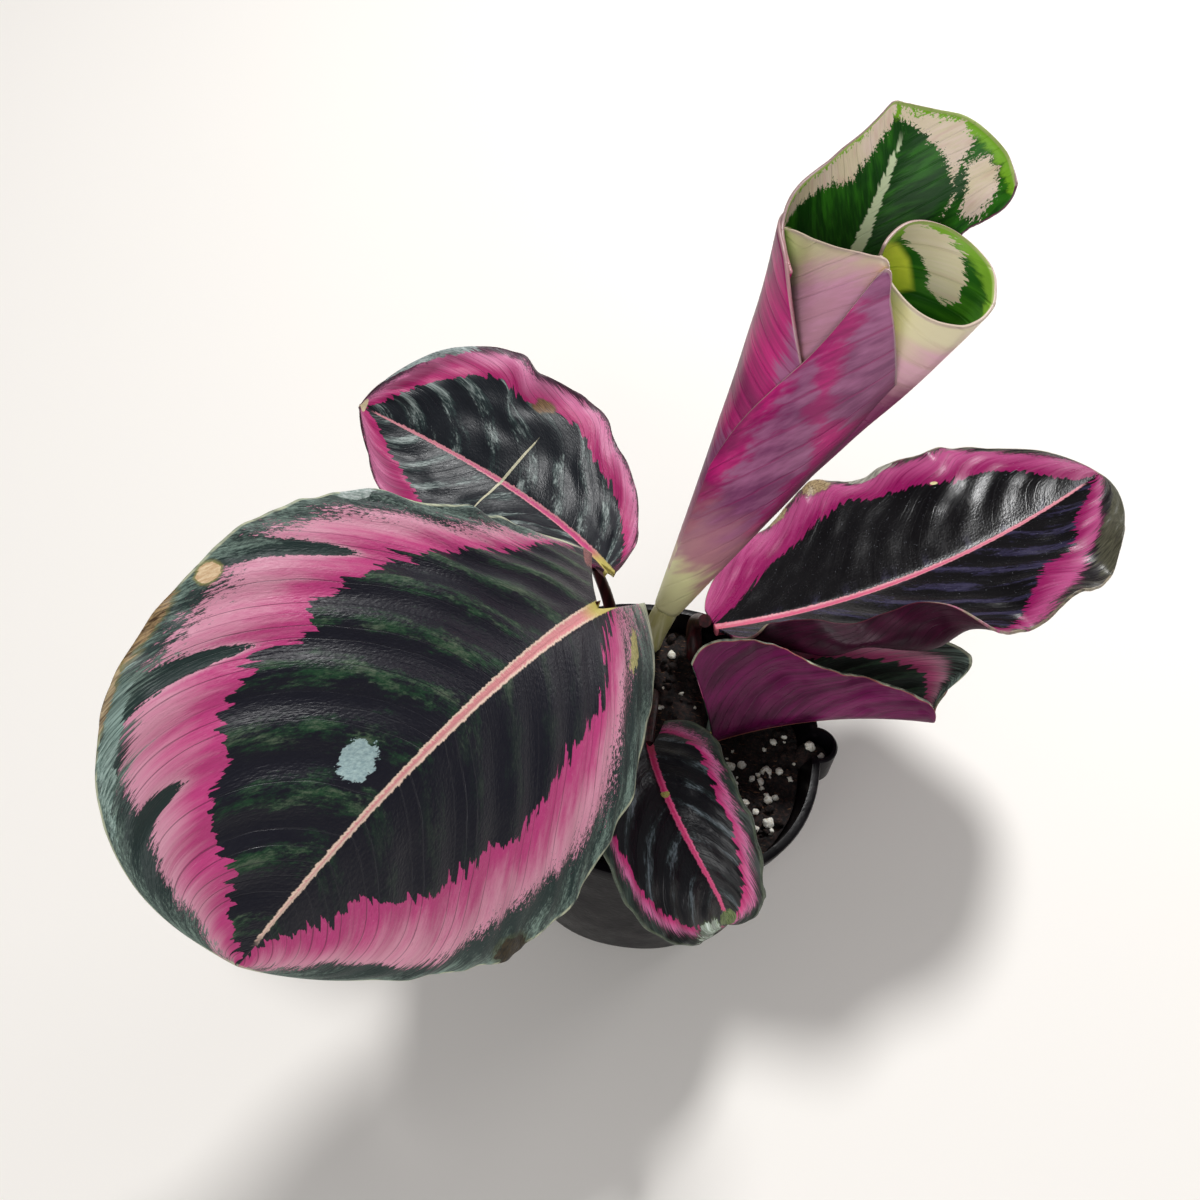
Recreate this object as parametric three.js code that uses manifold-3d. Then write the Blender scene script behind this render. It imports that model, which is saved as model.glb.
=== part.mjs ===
// Patterned prayer plant in a black nursery pot: six leaves, their stalks, the soil and the pot.
// Millimetres, +Z up. The origin is the centre of the pot's underside, the front of the plant is -Y.
import * as THREE from 'three';
import { mergeVertices } from 'three/addons/utils/BufferGeometryUtils.js';
import Module from 'manifold-3d';

const wasm = await Module();
wasm.setup();

const DEG = Math.PI / 180;
const CLEARANCE = 0.35;

// Pot: a thin moulded nursery pot, round with slightly flattened sides.
const POT_HEIGHT = 68;
const POT_BASE_RADIUS = 34;
const POT_RIM_RADIUS = 44;
const POT_WALL = 1.3;
const POT_FLOOR = 2.4;
const POT_SQUARENESS = 2.25;
const POT_SIDES = 36;
const LIP_HEIGHT = 6;
const LIP_WIDTH = 1.6;
const LIP_BEVEL = 0.8;
const FOOT_BEVEL = 1.5;
const DRAIN_SLOTS = 4;
const DRAIN_SLOT_WIDTH = 11;
const DRAIN_SLOT_DEPTH = 8;
const DRAIN_SLOT_HEIGHT = 4;
const POCKET_ANGLE = 4;
const POCKET_REACH = 44.6;
const POCKET_RADIUS = 6;
const POCKET_FLOOR = 57;

// Soil: fills the pot to a little below the rim.
const SOIL_TOP = 59.5;
const SOIL_MOUND = 2.5;
const SOIL_MOUND_SPREAD = 500;
const SOIL_SWELL = 0.7;
const SOIL_RIPPLE = 0.4;
const PLUG_RISE = 3.5;
const GRAIN_COUNT = 26;
const GRAIN_SIZE = [1.1, 2.1];
const GRAIN_SEED = 11;

// Leaves: blade thickness, and the midrib that stands out underneath.
const BLADE_THICKNESS = 0.8;
const RIB_HALF_WIDTH = 1.7;
const RIB_HEIGHT = 1.3;
const RIB_TAPER = 0.7;
const BASE_CROWDING = 0.12;
const LEAST_HALF_WIDTH = 0.5;
const MIDRIB_STEPS = 60;
const FOLD_STEPS = 24;
const VEIN_LEAN = 0.16;
const VEIN_CURVE = 0.28;
const SWEEP_SCALE = 6.75; // makes s * s * (1 - s) peak at 1

// Each flat leaf: where its blade begins, the heading and rise of its midrib at both ends, the roll
// of its plane at both ends (degrees), the midrib's length and the outline (bulge towards the base,
// taper towards the tip). Each half has its own width, lobe that reaches back at the base, fold,
// margin wave, ripples along the side veins, and edge: the outline's notches and swellings as
// [place, share of the width] pairs. A sweep draws one half forward along the blade.
const BLADES = {
  blade_front_left: {
    base: [-20.8, -1.8, 120], heading: [245.9, 234.8], rise: [34.2, -31.05], roll: [20.5, 52.2],
    length: 123.6, bulge: 0.634, taper: 0.409, root: 0.005, cup: 0.22, ribCount: 9,
    left: { half: 55.5, lobe: 0.226, fold: -8.5, wave: { count: 4.5, size: 0.5, shift: 0.1 }, ribSize: 0.35 },
    right: { half: 56.9, lobe: 0.2, fold: 7.3, wave: { count: 3.5, size: 2, shift: 0.35 }, ribSize: 0.7,
      edge: [[0, 3.8], [0.01, 2.2], [0.025, 1.5], [0.045, 1.22], [0.1, 1.06], [0.16, 0.98], [0.21, 0.9], [0.27, 0.88],
        [0.33, 1], [0.38, 1.03], [0.5, 1]] },
    rows: 32, columns: 6, color: 0x3a4a40,
  },
  blade_back: {
    base: [-21.9, 28.2, 102.7], heading: [121.5, 189], rise: [-16.9, 33], roll: [-23.3, 29.9],
    length: 89.8, bulge: 0.95, taper: 0.795, root: 0.005, cup: 0.029, ribCount: 8,
    left: { half: 32, lobe: 0.061, fold: 9.2, wave: { count: 2.5, size: 1.6, shift: 0.6 }, ribSize: 0.4 },
    right: { half: 39.6, lobe: 0.061, fold: 10.7, wave: { count: 3.5, size: 1.8, shift: 0.2 }, ribSize: 0.4,
      edge: [[0, 1], [0.14, 1], [0.21, 1.01], [0.31, 0.97], [0.36, 0.98], [0.41, 1.08], [0.47, 1.04], [0.54, 0.94],
        [0.59, 0.9], [0.64, 1.01], [0.72, 1.03], [0.87, 0.98], [1, 1]] },
    rows: 24, columns: 5, color: 0x38413f,
  },
  blade_right: {
    base: [12.9, 30, 80], heading: [23.5, 39.8], rise: [-5, 17.5], roll: [22.1, 9],
    length: 138.5, bulge: 0.635, taper: 0.574, root: 0.022, cup: 0.047, ribCount: 10,
    left: { half: 52.9, lobe: -0.008, fold: 5, wave: { count: 3.5, size: 2.4, shift: 0.7 }, ribSize: 0.5,
      edge: [[0, 1], [0.4, 1.02], [0.5, 1.06], [0.59, 0.98], [0.66, 0.97], [0.74, 0.92], [0.8, 1.02], [0.86, 1.06],
        [0.93, 0.98], [1, 1]] },
    right: { half: 42.1, lobe: -0.008, fold: 12.4, wave: { count: 4.5, size: 2.6, shift: 0.3 }, ribSize: 0.5,
      edge: [[0, 1.1], [0.08, 1.3], [0.15, 1.5], [0.25, 1.34], [0.33, 1.3], [0.41, 1.16], [0.5, 1], [0.6, 1],
        [0.7, 1.03], [0.83, 1.01], [0.92, 0.98], [1, 1]],
      hem: { angle: 150, width: 0.3, places: [0, 0.08, 0.3, 0.46] } },
    rows: 30, columns: 8, color: 0x2c2b38,
  },
  blade_low_right: {
    base: [13.4, -1.1, 70.5], heading: [28, 0], rise: [2, 0], roll: [0, 0],
    length: 66, bulge: 0.18, taper: 0.42, root: 0.02, cup: 0, ribCount: 6,
    left: { half: 27, lobe: -0.15, fold: 12, foldSpread: [-4, 8], sweep: 0.47,
      wave: { count: 2.5, size: 1.2, shift: 0.2 }, ribSize: 0.2, edge: [[0, 0.6], [0.2, 0.85], [0.5, 1], [1, 1]] },
    right: { half: 25, lobe: 0.08, fold: 112, foldSpread: [-4, 8], wave: { count: 2.5, size: 1, shift: 0.5 },
      ribSize: 0.2, edge: [[0, 1.7], [0.1, 1.5], [0.25, 1.22], [0.45, 0.9], [0.7, 0.75], [0.85, 0.8], [1, 1]] },
    rows: 20, columns: 6, color: 0x6a1f52,
  },
  blade_front: {
    base: [-2.7, -12.9, 80], heading: [-81, -15.5], rise: [20.1, -76.1], roll: [17.3, -50],
    length: 59, bulge: 0.364, taper: 0.591, root: 0.005, cup: -0.157, ribCount: 7,
    left: { half: 17, lobe: 0.146, fold: 27.4, wave: { count: 2.5, size: 0.9, shift: 0.4 }, ribSize: 0.3 },
    right: { half: 23.4, lobe: 0.146, fold: 18.4, wave: { count: 2.5, size: 0.8, shift: 0.1 }, ribSize: 0.3 },
    rows: 20, columns: 5, color: 0x33403a,
  },
};

// Rolled young leaf: a tight funnel round a leaning axis, in layers that overlap at the front.
// Places on it are an angle round the axis (0 right, 90 back, 180 left, 270 front) and a height.
const ROLL_FOOT = new THREE.Vector3(-1.2, 37, 78);
const ROLL_AXIS = new THREE.Vector3(0.282, 0.15, 0.948).normalize();
const ROLL_WALL = 0.9;
const ROLL_FOOT_RADIUS = 3.5;
const ROLL_WIDENING = 0.1592;
const ROLL_FLARE = 0.00007;
const ROLL_FRONT_INSET = 3.2;
const ROLL_LEFT_LIFT = [0.5, 0.9];
const ROLL_RIGHT_LIFT = [0.7, 1.6];
const ROLL_LOW = 52;
const ROLL_CORE_HEIGHT = 58;
const ROLL_CORE_SWELL = 0.6;
const ROLL_RIM = [[34, 141], [41, 143], [49, 145], [63, 146.5], [75, 146.5], [86, 145], [95, 144], [103, 143.3],
  [109, 142.5], [112, 139], [117, 134], [123, 130], [130, 126], [148, 121], [160, 117.5], [172, 114.4], [205, 110]];
const ROLL_LIP = [[34, 1], [60, 0.97], [75, 0.98], [86, 1], [103, 1.02], [112, 1.04], [117, 1.06], [130, 1.1],
  [148, 1.1], [171, 1.08], [190, 1], [345, 1]];
const ROLL_END_FLARE = [[60, 0.96], [118, 0.86], [127.5, 0.86], [130.5, 1], [134, 1.12], [137.5, 1.12], [141, 1.04]];
const ROLL_FRONT_RIM = [[150, 111.5], [165, 113], [180, 115.5], [200, 118], [225, 121.5], [246, 125], [256, 126],
  [263, 121], [271, 110], [285, 100]];
const ROLL_LEFT_EDGE = [[120, 116], [160, 114.5], [182, 113.5], [200, 111.5], [220, 105], [244, 95], [254, 90]];
const ROLL_RIGHT_EDGE = [[180, 38], [197, 48], [220, 70], [244, 95], [251, 108], [256, 125], [268, 119],
  [290, 108], [315, 98], [345, 92]];
const SCROLL_ANGLE = -19;
const SCROLL_START = 38;
const SCROLL_LOW = 54;
const SCROLL_FOOT_RADIUS = 1.6;
const SCROLL_TOP = 120;
const SCROLL_RADIUS = 14.4;
const SCROLL_BULGE = 3.8;
const SCROLL_RIM = [[-180, 120], [-150, 118.5], [-120, 117], [-90, 116.5], [-45, 118], [0, 122], [30, 125],
  [60, 126.5], [90, 127], [120, 126], [140, 124], [165, 121]];

// Stalks: points from inside the soil to just short of the blade, and the radius at foot and head.
const STALK_SIDES = 10;
const STALK_STEPS = 10;
const HOLE_STEPS = 6;
const HOLE_GAP = 0.5;
const STALKS = {
  stalk_front_left: {
    foot: 2.6, head: 1.8, points: [[-12, 19, 44], [-14, 18.5, 66], [-19, 11, 94], [-23, -3.2, 117]],
  },
  stalk_back: {
    foot: 2.3, head: 1.5, points: [[-12.5, 27, 44], [-13.5, 28.5, 62], [-18, 30.5, 82], [-23.4, 29, 99.6]],
  },
  stalk_right: {
    foot: 2.7, head: 2, points: [[9.4, 32.6, 44], [9.2, 33, 62], [7.6, 36.5, 72], [9.7, 32, 79.7]],
  },
  stalk_low_right: {
    foot: 1.9, head: 1.4, points: [[8, 8, 44], [9, 6, 57], [10.8, 2.2, 63.5], [13.9, -0.6, 67.9]],
  },
  stalk_front: {
    foot: 2.2, head: 1.3, points: [[-2, 18, 44], [-2.2, 16, 60], [-2.4, 8, 72], [-2.9, -11.7, 78.2]],
  },
  stalk_rolled: {
    foot: 3.9, head: 3.7, points: [[-5, 31, 44], [-4.8, 34.8, 61], [-1.3, 36.95, 77.4]],
  },
};

const potPlastic = { color: 0x141214, roughness: 0.45, metalness: 0 };
const soilPeat = { color: 0x241a17, roughness: 0.95, metalness: 0 };
const stalkSkin = { color: 0x6a2b33, roughness: 0.55, metalness: 0 };

// A value at x on a smooth curve through a list of [x, value] pairs.
function along(pairs, x) {
  const last = pairs.length - 1;
  if (x <= pairs[0][0]) return pairs[0][1];
  if (x >= pairs[last][0]) return pairs[last][1];
  let i = 0;
  while (x > pairs[i + 1][0]) i += 1;
  const slope = (k) => {
    const a = pairs[Math.max(k - 1, 0)];
    const b = pairs[Math.min(k + 1, last)];
    return (b[1] - a[1]) / (b[0] - a[0]);
  };
  const span = pairs[i + 1][0] - pairs[i][0];
  const u = (x - pairs[i][0]) / span;
  const startWeight = (1 + 2 * u) * (1 - u) ** 2;
  const endWeight = u * u * (3 - 2 * u);
  const slopes = u * (1 - u) ** 2 * slope(i) - u * u * (1 - u) * slope(i + 1);
  return startWeight * pairs[i][1] + endWeight * pairs[i + 1][1] + span * slopes;
}

function smoothstep(x, low, high) {
  const u = Math.min(Math.max((x - low) / (high - low), 0), 1);
  return u * u * (3 - 2 * u);
}

// Seeded random numbers from 0 to 1.
function randomFrom(seed) {
  let state = seed;
  return () => {
    state = (state * 16807) % 2147483647;
    return state / 2147483647;
  };
}

function onlyPositions(geometry) {
  geometry.deleteAttribute('normal');
  geometry.deleteAttribute('uv');
  return mergeVertices(geometry, 1e-4);
}

function toSolid(geometry) {
  const merged = onlyPositions(geometry);
  return new wasm.Manifold(new wasm.Mesh({
    numProp: 3,
    vertProperties: new Float32Array(merged.attributes.position.array),
    triVerts: new Uint32Array(merged.index.array),
  }));
}

function toGeometry(solid) {
  const { vertProperties, triVerts } = solid.getMesh();
  const geometry = new THREE.BufferGeometry();
  geometry.setAttribute('position', new THREE.BufferAttribute(vertProperties, 3));
  geometry.setIndex(new THREE.BufferAttribute(triVerts, 1));
  return geometry;
}

// A thin closed solid over a grid: place(i, j) gives the points of its two faces, upper and lower.
// Both faces are split into triangles along the same diagonals.
function thinSolid(rows, columns, place) {
  const positions = [];
  const faces = [];
  const count = (rows + 1) * (columns + 1);
  const lowerPoints = [];
  for (let i = 0; i <= rows; i += 1) {
    for (let j = 0; j <= columns; j += 1) {
      const { upper, lower } = place(i, j);
      positions.push(upper.x, upper.y, upper.z);
      lowerPoints.push(lower.x, lower.y, lower.z);
    }
  }
  positions.push(...lowerPoints);
  const at = (i, j) => i * (columns + 1) + j;
  for (let i = 0; i < rows; i += 1) {
    for (let j = 0; j < columns; j += 1) {
      const corners = [at(i, j), at(i, j + 1), at(i + 1, j + 1), at(i + 1, j)];
      for (const [a, b, c] of [[0, 1, 3], [1, 2, 3]]) {
        faces.push(corners[a], corners[b], corners[c]);
        faces.push(count + corners[a], count + corners[c], count + corners[b]);
      }
    }
  }
  const border = [];
  for (let j = 0; j < columns; j += 1) border.push(at(0, j));
  for (let i = 0; i < rows; i += 1) border.push(at(i, columns));
  for (let j = columns; j > 0; j -= 1) border.push(at(rows, j));
  for (let i = rows; i > 0; i -= 1) border.push(at(i, 0));
  border.forEach((a, k) => {
    const b = border[(k + 1) % border.length];
    faces.push(a, count + a, count + b, a, count + b, b);
  });
  const geometry = new THREE.BufferGeometry();
  geometry.setAttribute('position', new THREE.Float32BufferAttribute(positions, 3));
  geometry.setIndex(faces);
  return geometry;
}

// The midrib's direction at s, from 0 at the base to 1 at the tip.
function midribDirection(spec, s) {
  const heading = (spec.heading[0] + (spec.heading[1] - spec.heading[0]) * s) * DEG;
  const rise = (spec.rise[0] + (spec.rise[1] - spec.rise[0]) * s) * DEG;
  return new THREE.Vector3(
    Math.cos(rise) * Math.cos(heading),
    Math.cos(rise) * Math.sin(heading),
    Math.sin(rise),
  );
}

// The blade's own axes at s: along the midrib, to its right, and up through the blade.
function bladeAxes(spec, s) {
  const forward = midribDirection(spec, s);
  const heading = (spec.heading[0] + (spec.heading[1] - spec.heading[0]) * s) * DEG;
  const level = new THREE.Vector3(Math.sin(heading), -Math.cos(heading), 0);
  const roll = (spec.roll[0] + (spec.roll[1] - spec.roll[0]) * s) * DEG;
  const side = level.clone().applyAxisAngle(forward, -roll);
  return { forward, side, up: side.clone().cross(forward) };
}

// The midrib: a curve built up in short steps along its changing direction.
function midribPoint(spec, s) {
  const point = new THREE.Vector3(...spec.base);
  for (let k = 0; k < MIDRIB_STEPS; k += 1) {
    const middle = s * (k + 0.5) / MIDRIB_STEPS;
    point.addScaledVector(midribDirection(spec, middle), spec.length * s / MIDRIB_STEPS);
  }
  return point;
}

// The width of one half of the blade at s.
function halfWidth(spec, half, s) {
  const width = (x) => (x + spec.root) ** spec.bulge * Math.max(1 - x, 0) ** spec.taper;
  const widest = (spec.bulge - spec.taper * spec.root) / (spec.bulge + spec.taper);
  const edge = half.edge ? along(half.edge, s) : 1;
  return Math.max(half.half * width(s) / width(widest) * edge, LEAST_HALF_WIDTH);
}

// The angle by which one half is turned up, at s and at a share of its width: a fold along the
// midrib, either sharp or spread over some millimetres, and a hem turned over along the margin.
function foldAngle(half, s, reach, width) {
  const spread = half.foldSpread ? smoothstep(reach * width, ...half.foldSpread) : 1;
  let angle = half.fold * DEG * spread;
  if (half.hem) {
    const [start, full, fading, end] = half.hem.places;
    const share = smoothstep(s, start, full) * (1 - smoothstep(s, fading, end));
    angle += half.hem.angle * DEG * share * smoothstep(reach, 1 - half.hem.width, 1 - half.hem.width / 2);
  }
  return angle;
}

// A point of the blade's upper face at s along it and t across it (-1 left margin, 1 right margin).
function bladePoint(spec, s, t) {
  const { forward, side, up } = bladeAxes(spec, s);
  const half = t < 0 ? spec.left : spec.right;
  const sign = t < 0 ? -1 : 1;
  const reach = Math.abs(t);
  const width = halfWidth(spec, half, s);
  let across = 0;
  let rise = -spec.cup * width * reach * reach;
  for (let k = 0; k < FOLD_STEPS; k += 1) {
    const angle = foldAngle(half, s, (k + 0.5) / FOLD_STEPS * reach, width);
    across += Math.cos(angle) * width * reach / FOLD_STEPS;
    rise += Math.sin(angle) * width * reach / FOLD_STEPS;
  }
  const turn = reach === 0 ? 0 : sign * (foldAngle(half, s, reach, width) - 2 * spec.cup * reach);
  const normal = up.clone().multiplyScalar(Math.cos(turn)).addScaledVector(side, -Math.sin(turn));
  const ends = smoothstep(s, 0, 0.15) * smoothstep(1 - s, 0, 0.12);
  const { count, size, shift } = half.wave;
  const waving = size * reach ** 2.5 * Math.sin(2 * Math.PI * (count * s + shift)) * ends;
  const veinStart = s - reach * (VEIN_LEAN + VEIN_CURVE * reach);
  const ripple = Math.sin(2 * Math.PI * spec.ribCount * veinStart);
  const ribbing = half.ribSize * ripple * smoothstep(reach, 0, 0.3) * ends;
  const back = half.lobe * spec.length * (1 - s) ** 4 * reach ** 1.5;
  const ahead = (half.sweep ?? 0) * spec.length * SWEEP_SCALE * s * s * (1 - s) * reach ** 1.5;
  const point = midribPoint(spec, s)
    .addScaledVector(side, sign * across)
    .addScaledVector(up, rise)
    .addScaledVector(forward, ahead - back)
    .addScaledVector(normal, waving + ribbing);
  return { point, normal };
}

// Rows crowd together towards the base and the tip, where the outline turns fastest.
function rowPlace(share) {
  const rounded = (x) => 0.5 - 0.5 * Math.cos(Math.PI * (BASE_CROWDING + (1 - BASE_CROWDING) * x));
  return (rounded(share) - rounded(0)) / (1 - rounded(0));
}

function bladeGeometry(spec) {
  const { rows, columns } = spec;
  return thinSolid(rows, 2 * columns, (i, j) => {
    const place = rowPlace(i / rows);
    const column = j - columns;
    const width = halfWidth(spec, column < 0 ? spec.left : spec.right, place);
    const rib = Math.min(RIB_HALF_WIDTH / width, 0.3);
    const out = Math.abs(column);
    const reach = out < 2 ? out * rib : rib + (1 - rib) * (out - 1) / (columns - 1);
    const { point, normal } = bladePoint(spec, place, Math.sign(column) * reach);
    const ribbed = out === 0 ? RIB_HEIGHT * (1 - RIB_TAPER * place) : 0;
    return { upper: point, lower: point.clone().addScaledVector(normal, -BLADE_THICKNESS - ribbed) };
  });
}

// The rolled leaf's cross directions: to the right, and to the back.
const rollRight = new THREE.Vector3(1, 0, 0).addScaledVector(ROLL_AXIS, -ROLL_AXIS.x).normalize();
const rollBack = ROLL_AXIS.clone().cross(rollRight);

function rollPoint(angle, height, radius, centre = [0, 0]) {
  return ROLL_FOOT.clone()
    .addScaledVector(ROLL_AXIS, height)
    .addScaledVector(rollRight, centre[0] + radius * Math.cos(angle * DEG))
    .addScaledVector(rollBack, centre[1] + radius * Math.sin(angle * DEG));
}

const rollRadius = (height) => ROLL_FOOT_RADIUS + ROLL_WIDENING * height + ROLL_FLARE * height * height;

// One layer of the roll between two angles, from a lower height up to its edge.
function rollLayer({ from, to, low, edge, radius, rows, columns, centre = () => [0, 0] }) {
  return thinSolid(rows, columns, (i, j) => {
    const angle = from + (to - from) * i / rows;
    const height = low + (edge(angle) - low) * (columns - j) / columns;
    const outer = radius(angle, height);
    const middle = centre(height);
    return {
      upper: rollPoint(angle, height, outer, middle),
      lower: rollPoint(angle, height, outer - ROLL_WALL, middle),
    };
  });
}

function scrollRadius(height) {
  const share = (height - SCROLL_START) / (SCROLL_TOP - SCROLL_START);
  return SCROLL_FOOT_RADIUS + (SCROLL_RADIUS - SCROLL_FOOT_RADIUS) * share;
}

function rolledLeaf() {
  const profile = [[0, 0]];
  for (let k = 0; k <= 6; k += 1) {
    const height = ROLL_CORE_HEIGHT * k / 6;
    profile.push([rollRadius(height) + ROLL_CORE_SWELL, height]);
  }
  profile.push([0, ROLL_CORE_HEIGHT]);
  const core = new THREE.LatheGeometry(profile.map(([x, y]) => new THREE.Vector2(x, y)), 20);
  core.rotateX(Math.PI / 2);
  core.applyMatrix4(new THREE.Matrix4().makeBasis(rollRight, rollBack, ROLL_AXIS).setPosition(ROLL_FOOT));

  const spread = (height) => smoothstep(height, 40, 118);
  const lipRadius = (angle, height) => {
    const lip = (along(ROLL_LIP, angle) - 1) * smoothstep(height, 90, 120);
    return rollRadius(height) * (1 + lip);
  };
  const flaredRadius = (angle, height) => {
    const flare = along(ROLL_END_FLARE, height) - 1;
    return lipRadius(angle, height) * (1 + flare * (1 - smoothstep(angle, 38, 62)));
  };
  const layers = [
    { from: 34, to: 205, low: ROLL_LOW, rows: 26, columns: 8, radius: flaredRadius, edge: (a) => along(ROLL_RIM, a) },
    { from: 150, to: 285, low: ROLL_LOW, rows: 15, columns: 5, edge: (a) => along(ROLL_FRONT_RIM, a),
      radius: (a, h) => {
        const inset = 0.5 + ROLL_FRONT_INSET * spread(h) * smoothstep(a, 150, 200) * smoothstep(270 - a, 0, 80);
        return lipRadius(a, h) - inset;
      } },
    { from: 120, to: 254, low: ROLL_LOW, rows: 14, columns: 4, edge: (a) => along(ROLL_LEFT_EDGE, a),
      radius: (a, h) => {
        const lift = ROLL_LEFT_LIFT[0] + ROLL_LEFT_LIFT[1] * smoothstep(a, 140, 230) * spread(h);
        return lipRadius(a, h) + lift;
      } },
    { from: 202, to: 345, low: ROLL_LOW, rows: 18, columns: 5, edge: (a) => along(ROLL_RIGHT_EDGE, a),
      radius: (a, h) => {
        const lift = ROLL_RIGHT_LIFT[0] + ROLL_RIGHT_LIFT[1] * smoothstep(300 - a, 0, 60) * spread(h);
        return rollRadius(h) + lift;
      } },
    { from: -180, to: 165, low: SCROLL_LOW, rows: 24, columns: 6, edge: (a) => along(SCROLL_RIM, a),
      radius: (a, h) => scrollRadius(h),
      centre: (h) => {
        const out = rollRadius(h) + SCROLL_BULGE * spread(h) - scrollRadius(h);
        return [out * Math.cos(SCROLL_ANGLE * DEG), out * Math.sin(SCROLL_ANGLE * DEG)];
      } },
  ];
  let leaf = toSolid(core);
  for (const layer of layers) leaf = leaf.add(toSolid(rollLayer(layer)));
  // Where two layers touch, the join encloses small bubbles, which are left out.
  const shells = leaf.decompose().filter((shell) => shell.volume() > 0);
  return toGeometry(wasm.Manifold.compose(shells));
}

// A round stalk along a curve, tapering from foot to head.
function stalkGeometry(points, foot, head, steps = STALK_STEPS) {
  const curve = new THREE.CatmullRomCurve3(points.map((p) => new THREE.Vector3(...p)));
  const section = new THREE.Shape();
  section.absarc(0, 0, 1, 0, 2 * Math.PI);
  const geometry = new THREE.ExtrudeGeometry(section, {
    steps, extrudePath: curve, curveSegments: STALK_SIDES / 2, bevelEnabled: false,
  });
  const centres = curve.getSpacedPoints(steps);
  const position = geometry.attributes.position;
  const vertex = new THREE.Vector3();
  for (let k = 0; k < position.count; k += 1) {
    vertex.fromBufferAttribute(position, k);
    const distances = centres.map((centre) => Math.abs(centre.distanceTo(vertex) - 1));
    const nearest = distances.indexOf(Math.min(...distances));
    const radius = foot + (head - foot) * nearest / steps;
    vertex.sub(centres[nearest]).multiplyScalar(radius).add(centres[nearest]);
    position.setXYZ(k, vertex.x, vertex.y, vertex.z);
  }
  return onlyPositions(geometry);
}

// Turn round things slightly square: each point keeps its height and moves out at the corners.
function squared(geometry) {
  const position = geometry.attributes.position;
  for (let k = 0; k < position.count; k += 1) {
    const x = position.getX(k);
    const y = position.getY(k);
    const radius = Math.hypot(x, y);
    if (radius < 1e-6) continue;
    const share = Math.abs(x / radius) ** POT_SQUARENESS + Math.abs(y / radius) ** POT_SQUARENESS;
    const grown = share ** (-1 / POT_SQUARENESS);
    position.setXY(k, x * grown, y * grown);
  }
  return geometry;
}

function turned(profile, sides) {
  const geometry = new THREE.LatheGeometry(profile.map(([x, y]) => new THREE.Vector2(x, y)), sides);
  geometry.rotateX(Math.PI / 2);
  return geometry;
}

const wallRadius = (z) => POT_BASE_RADIUS + (POT_RIM_RADIUS - POT_BASE_RADIUS) * z / POT_HEIGHT;
const pocketCentre = [
  POCKET_REACH * Math.cos(POCKET_ANGLE * DEG),
  POCKET_REACH * Math.sin(POCKET_ANGLE * DEG),
];

function upright(radius, low, high, sides, [x, y]) {
  const geometry = new THREE.CylinderGeometry(radius, radius, high - low, sides);
  geometry.rotateX(Math.PI / 2);
  geometry.translate(x, y, (low + high) / 2);
  return toSolid(geometry);
}

function potGeometry() {
  const lipFoot = POT_HEIGHT - LIP_HEIGHT;
  const outside = [
    [0, 0],
    [POT_BASE_RADIUS - FOOT_BEVEL, 0],
    [wallRadius(FOOT_BEVEL), FOOT_BEVEL],
    [wallRadius(lipFoot), lipFoot],
    [wallRadius(lipFoot) + LIP_WIDTH, lipFoot + 1],
    [wallRadius(POT_HEIGHT) + LIP_WIDTH, POT_HEIGHT - LIP_BEVEL],
    [wallRadius(POT_HEIGHT) + LIP_WIDTH - LIP_BEVEL, POT_HEIGHT],
    [0, POT_HEIGHT],
  ];
  const inside = [
    [0, POT_FLOOR],
    [wallRadius(POT_FLOOR) - POT_WALL, POT_FLOOR],
    [wallRadius(lipFoot) - POT_WALL, lipFoot],
    [wallRadius(POT_HEIGHT) - POT_WALL + LIP_BEVEL, POT_HEIGHT + 1],
    [0, POT_HEIGHT + 1],
  ];
  const pocket = upright(POCKET_RADIUS, POCKET_FLOOR, POT_HEIGHT, 20, pocketCentre);
  const pocketRoom = upright(POCKET_RADIUS - POT_WALL, POCKET_FLOOR + POT_WALL, POT_HEIGHT + 2, 20, pocketCentre);
  let pot = toSolid(squared(turned(outside, POT_SIDES))).add(pocket);
  pot = pot.subtract(toSolid(squared(turned(inside, POT_SIDES)))).subtract(pocketRoom);
  for (let k = 0; k < DRAIN_SLOTS; k += 1) {
    const slot = new THREE.BoxGeometry(DRAIN_SLOT_DEPTH, DRAIN_SLOT_WIDTH, DRAIN_SLOT_HEIGHT);
    slot.translate(POT_BASE_RADIUS, 0, DRAIN_SLOT_HEIGHT / 2 - 0.5);
    slot.rotateZ((k + 0.5) * 2 * Math.PI / DRAIN_SLOTS);
    pot = pot.subtract(toSolid(slot));
  }
  return toGeometry(pot);
}

// The soil's surface: heaped round the stalks, with gentle swells and finer ripples.
function soilHeight(x, y) {
  const heap = SOIL_MOUND * Math.exp(-((x + 1) ** 2 + (y - 22) ** 2) / SOIL_MOUND_SPREAD);
  const swell = SOIL_SWELL * Math.sin(x / 5.3 + 1.2) * Math.sin(y / 4.4);
  return SOIL_TOP + heap + swell + SOIL_RIPPLE * Math.sin(x / 2.7 - y / 3.1);
}

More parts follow.
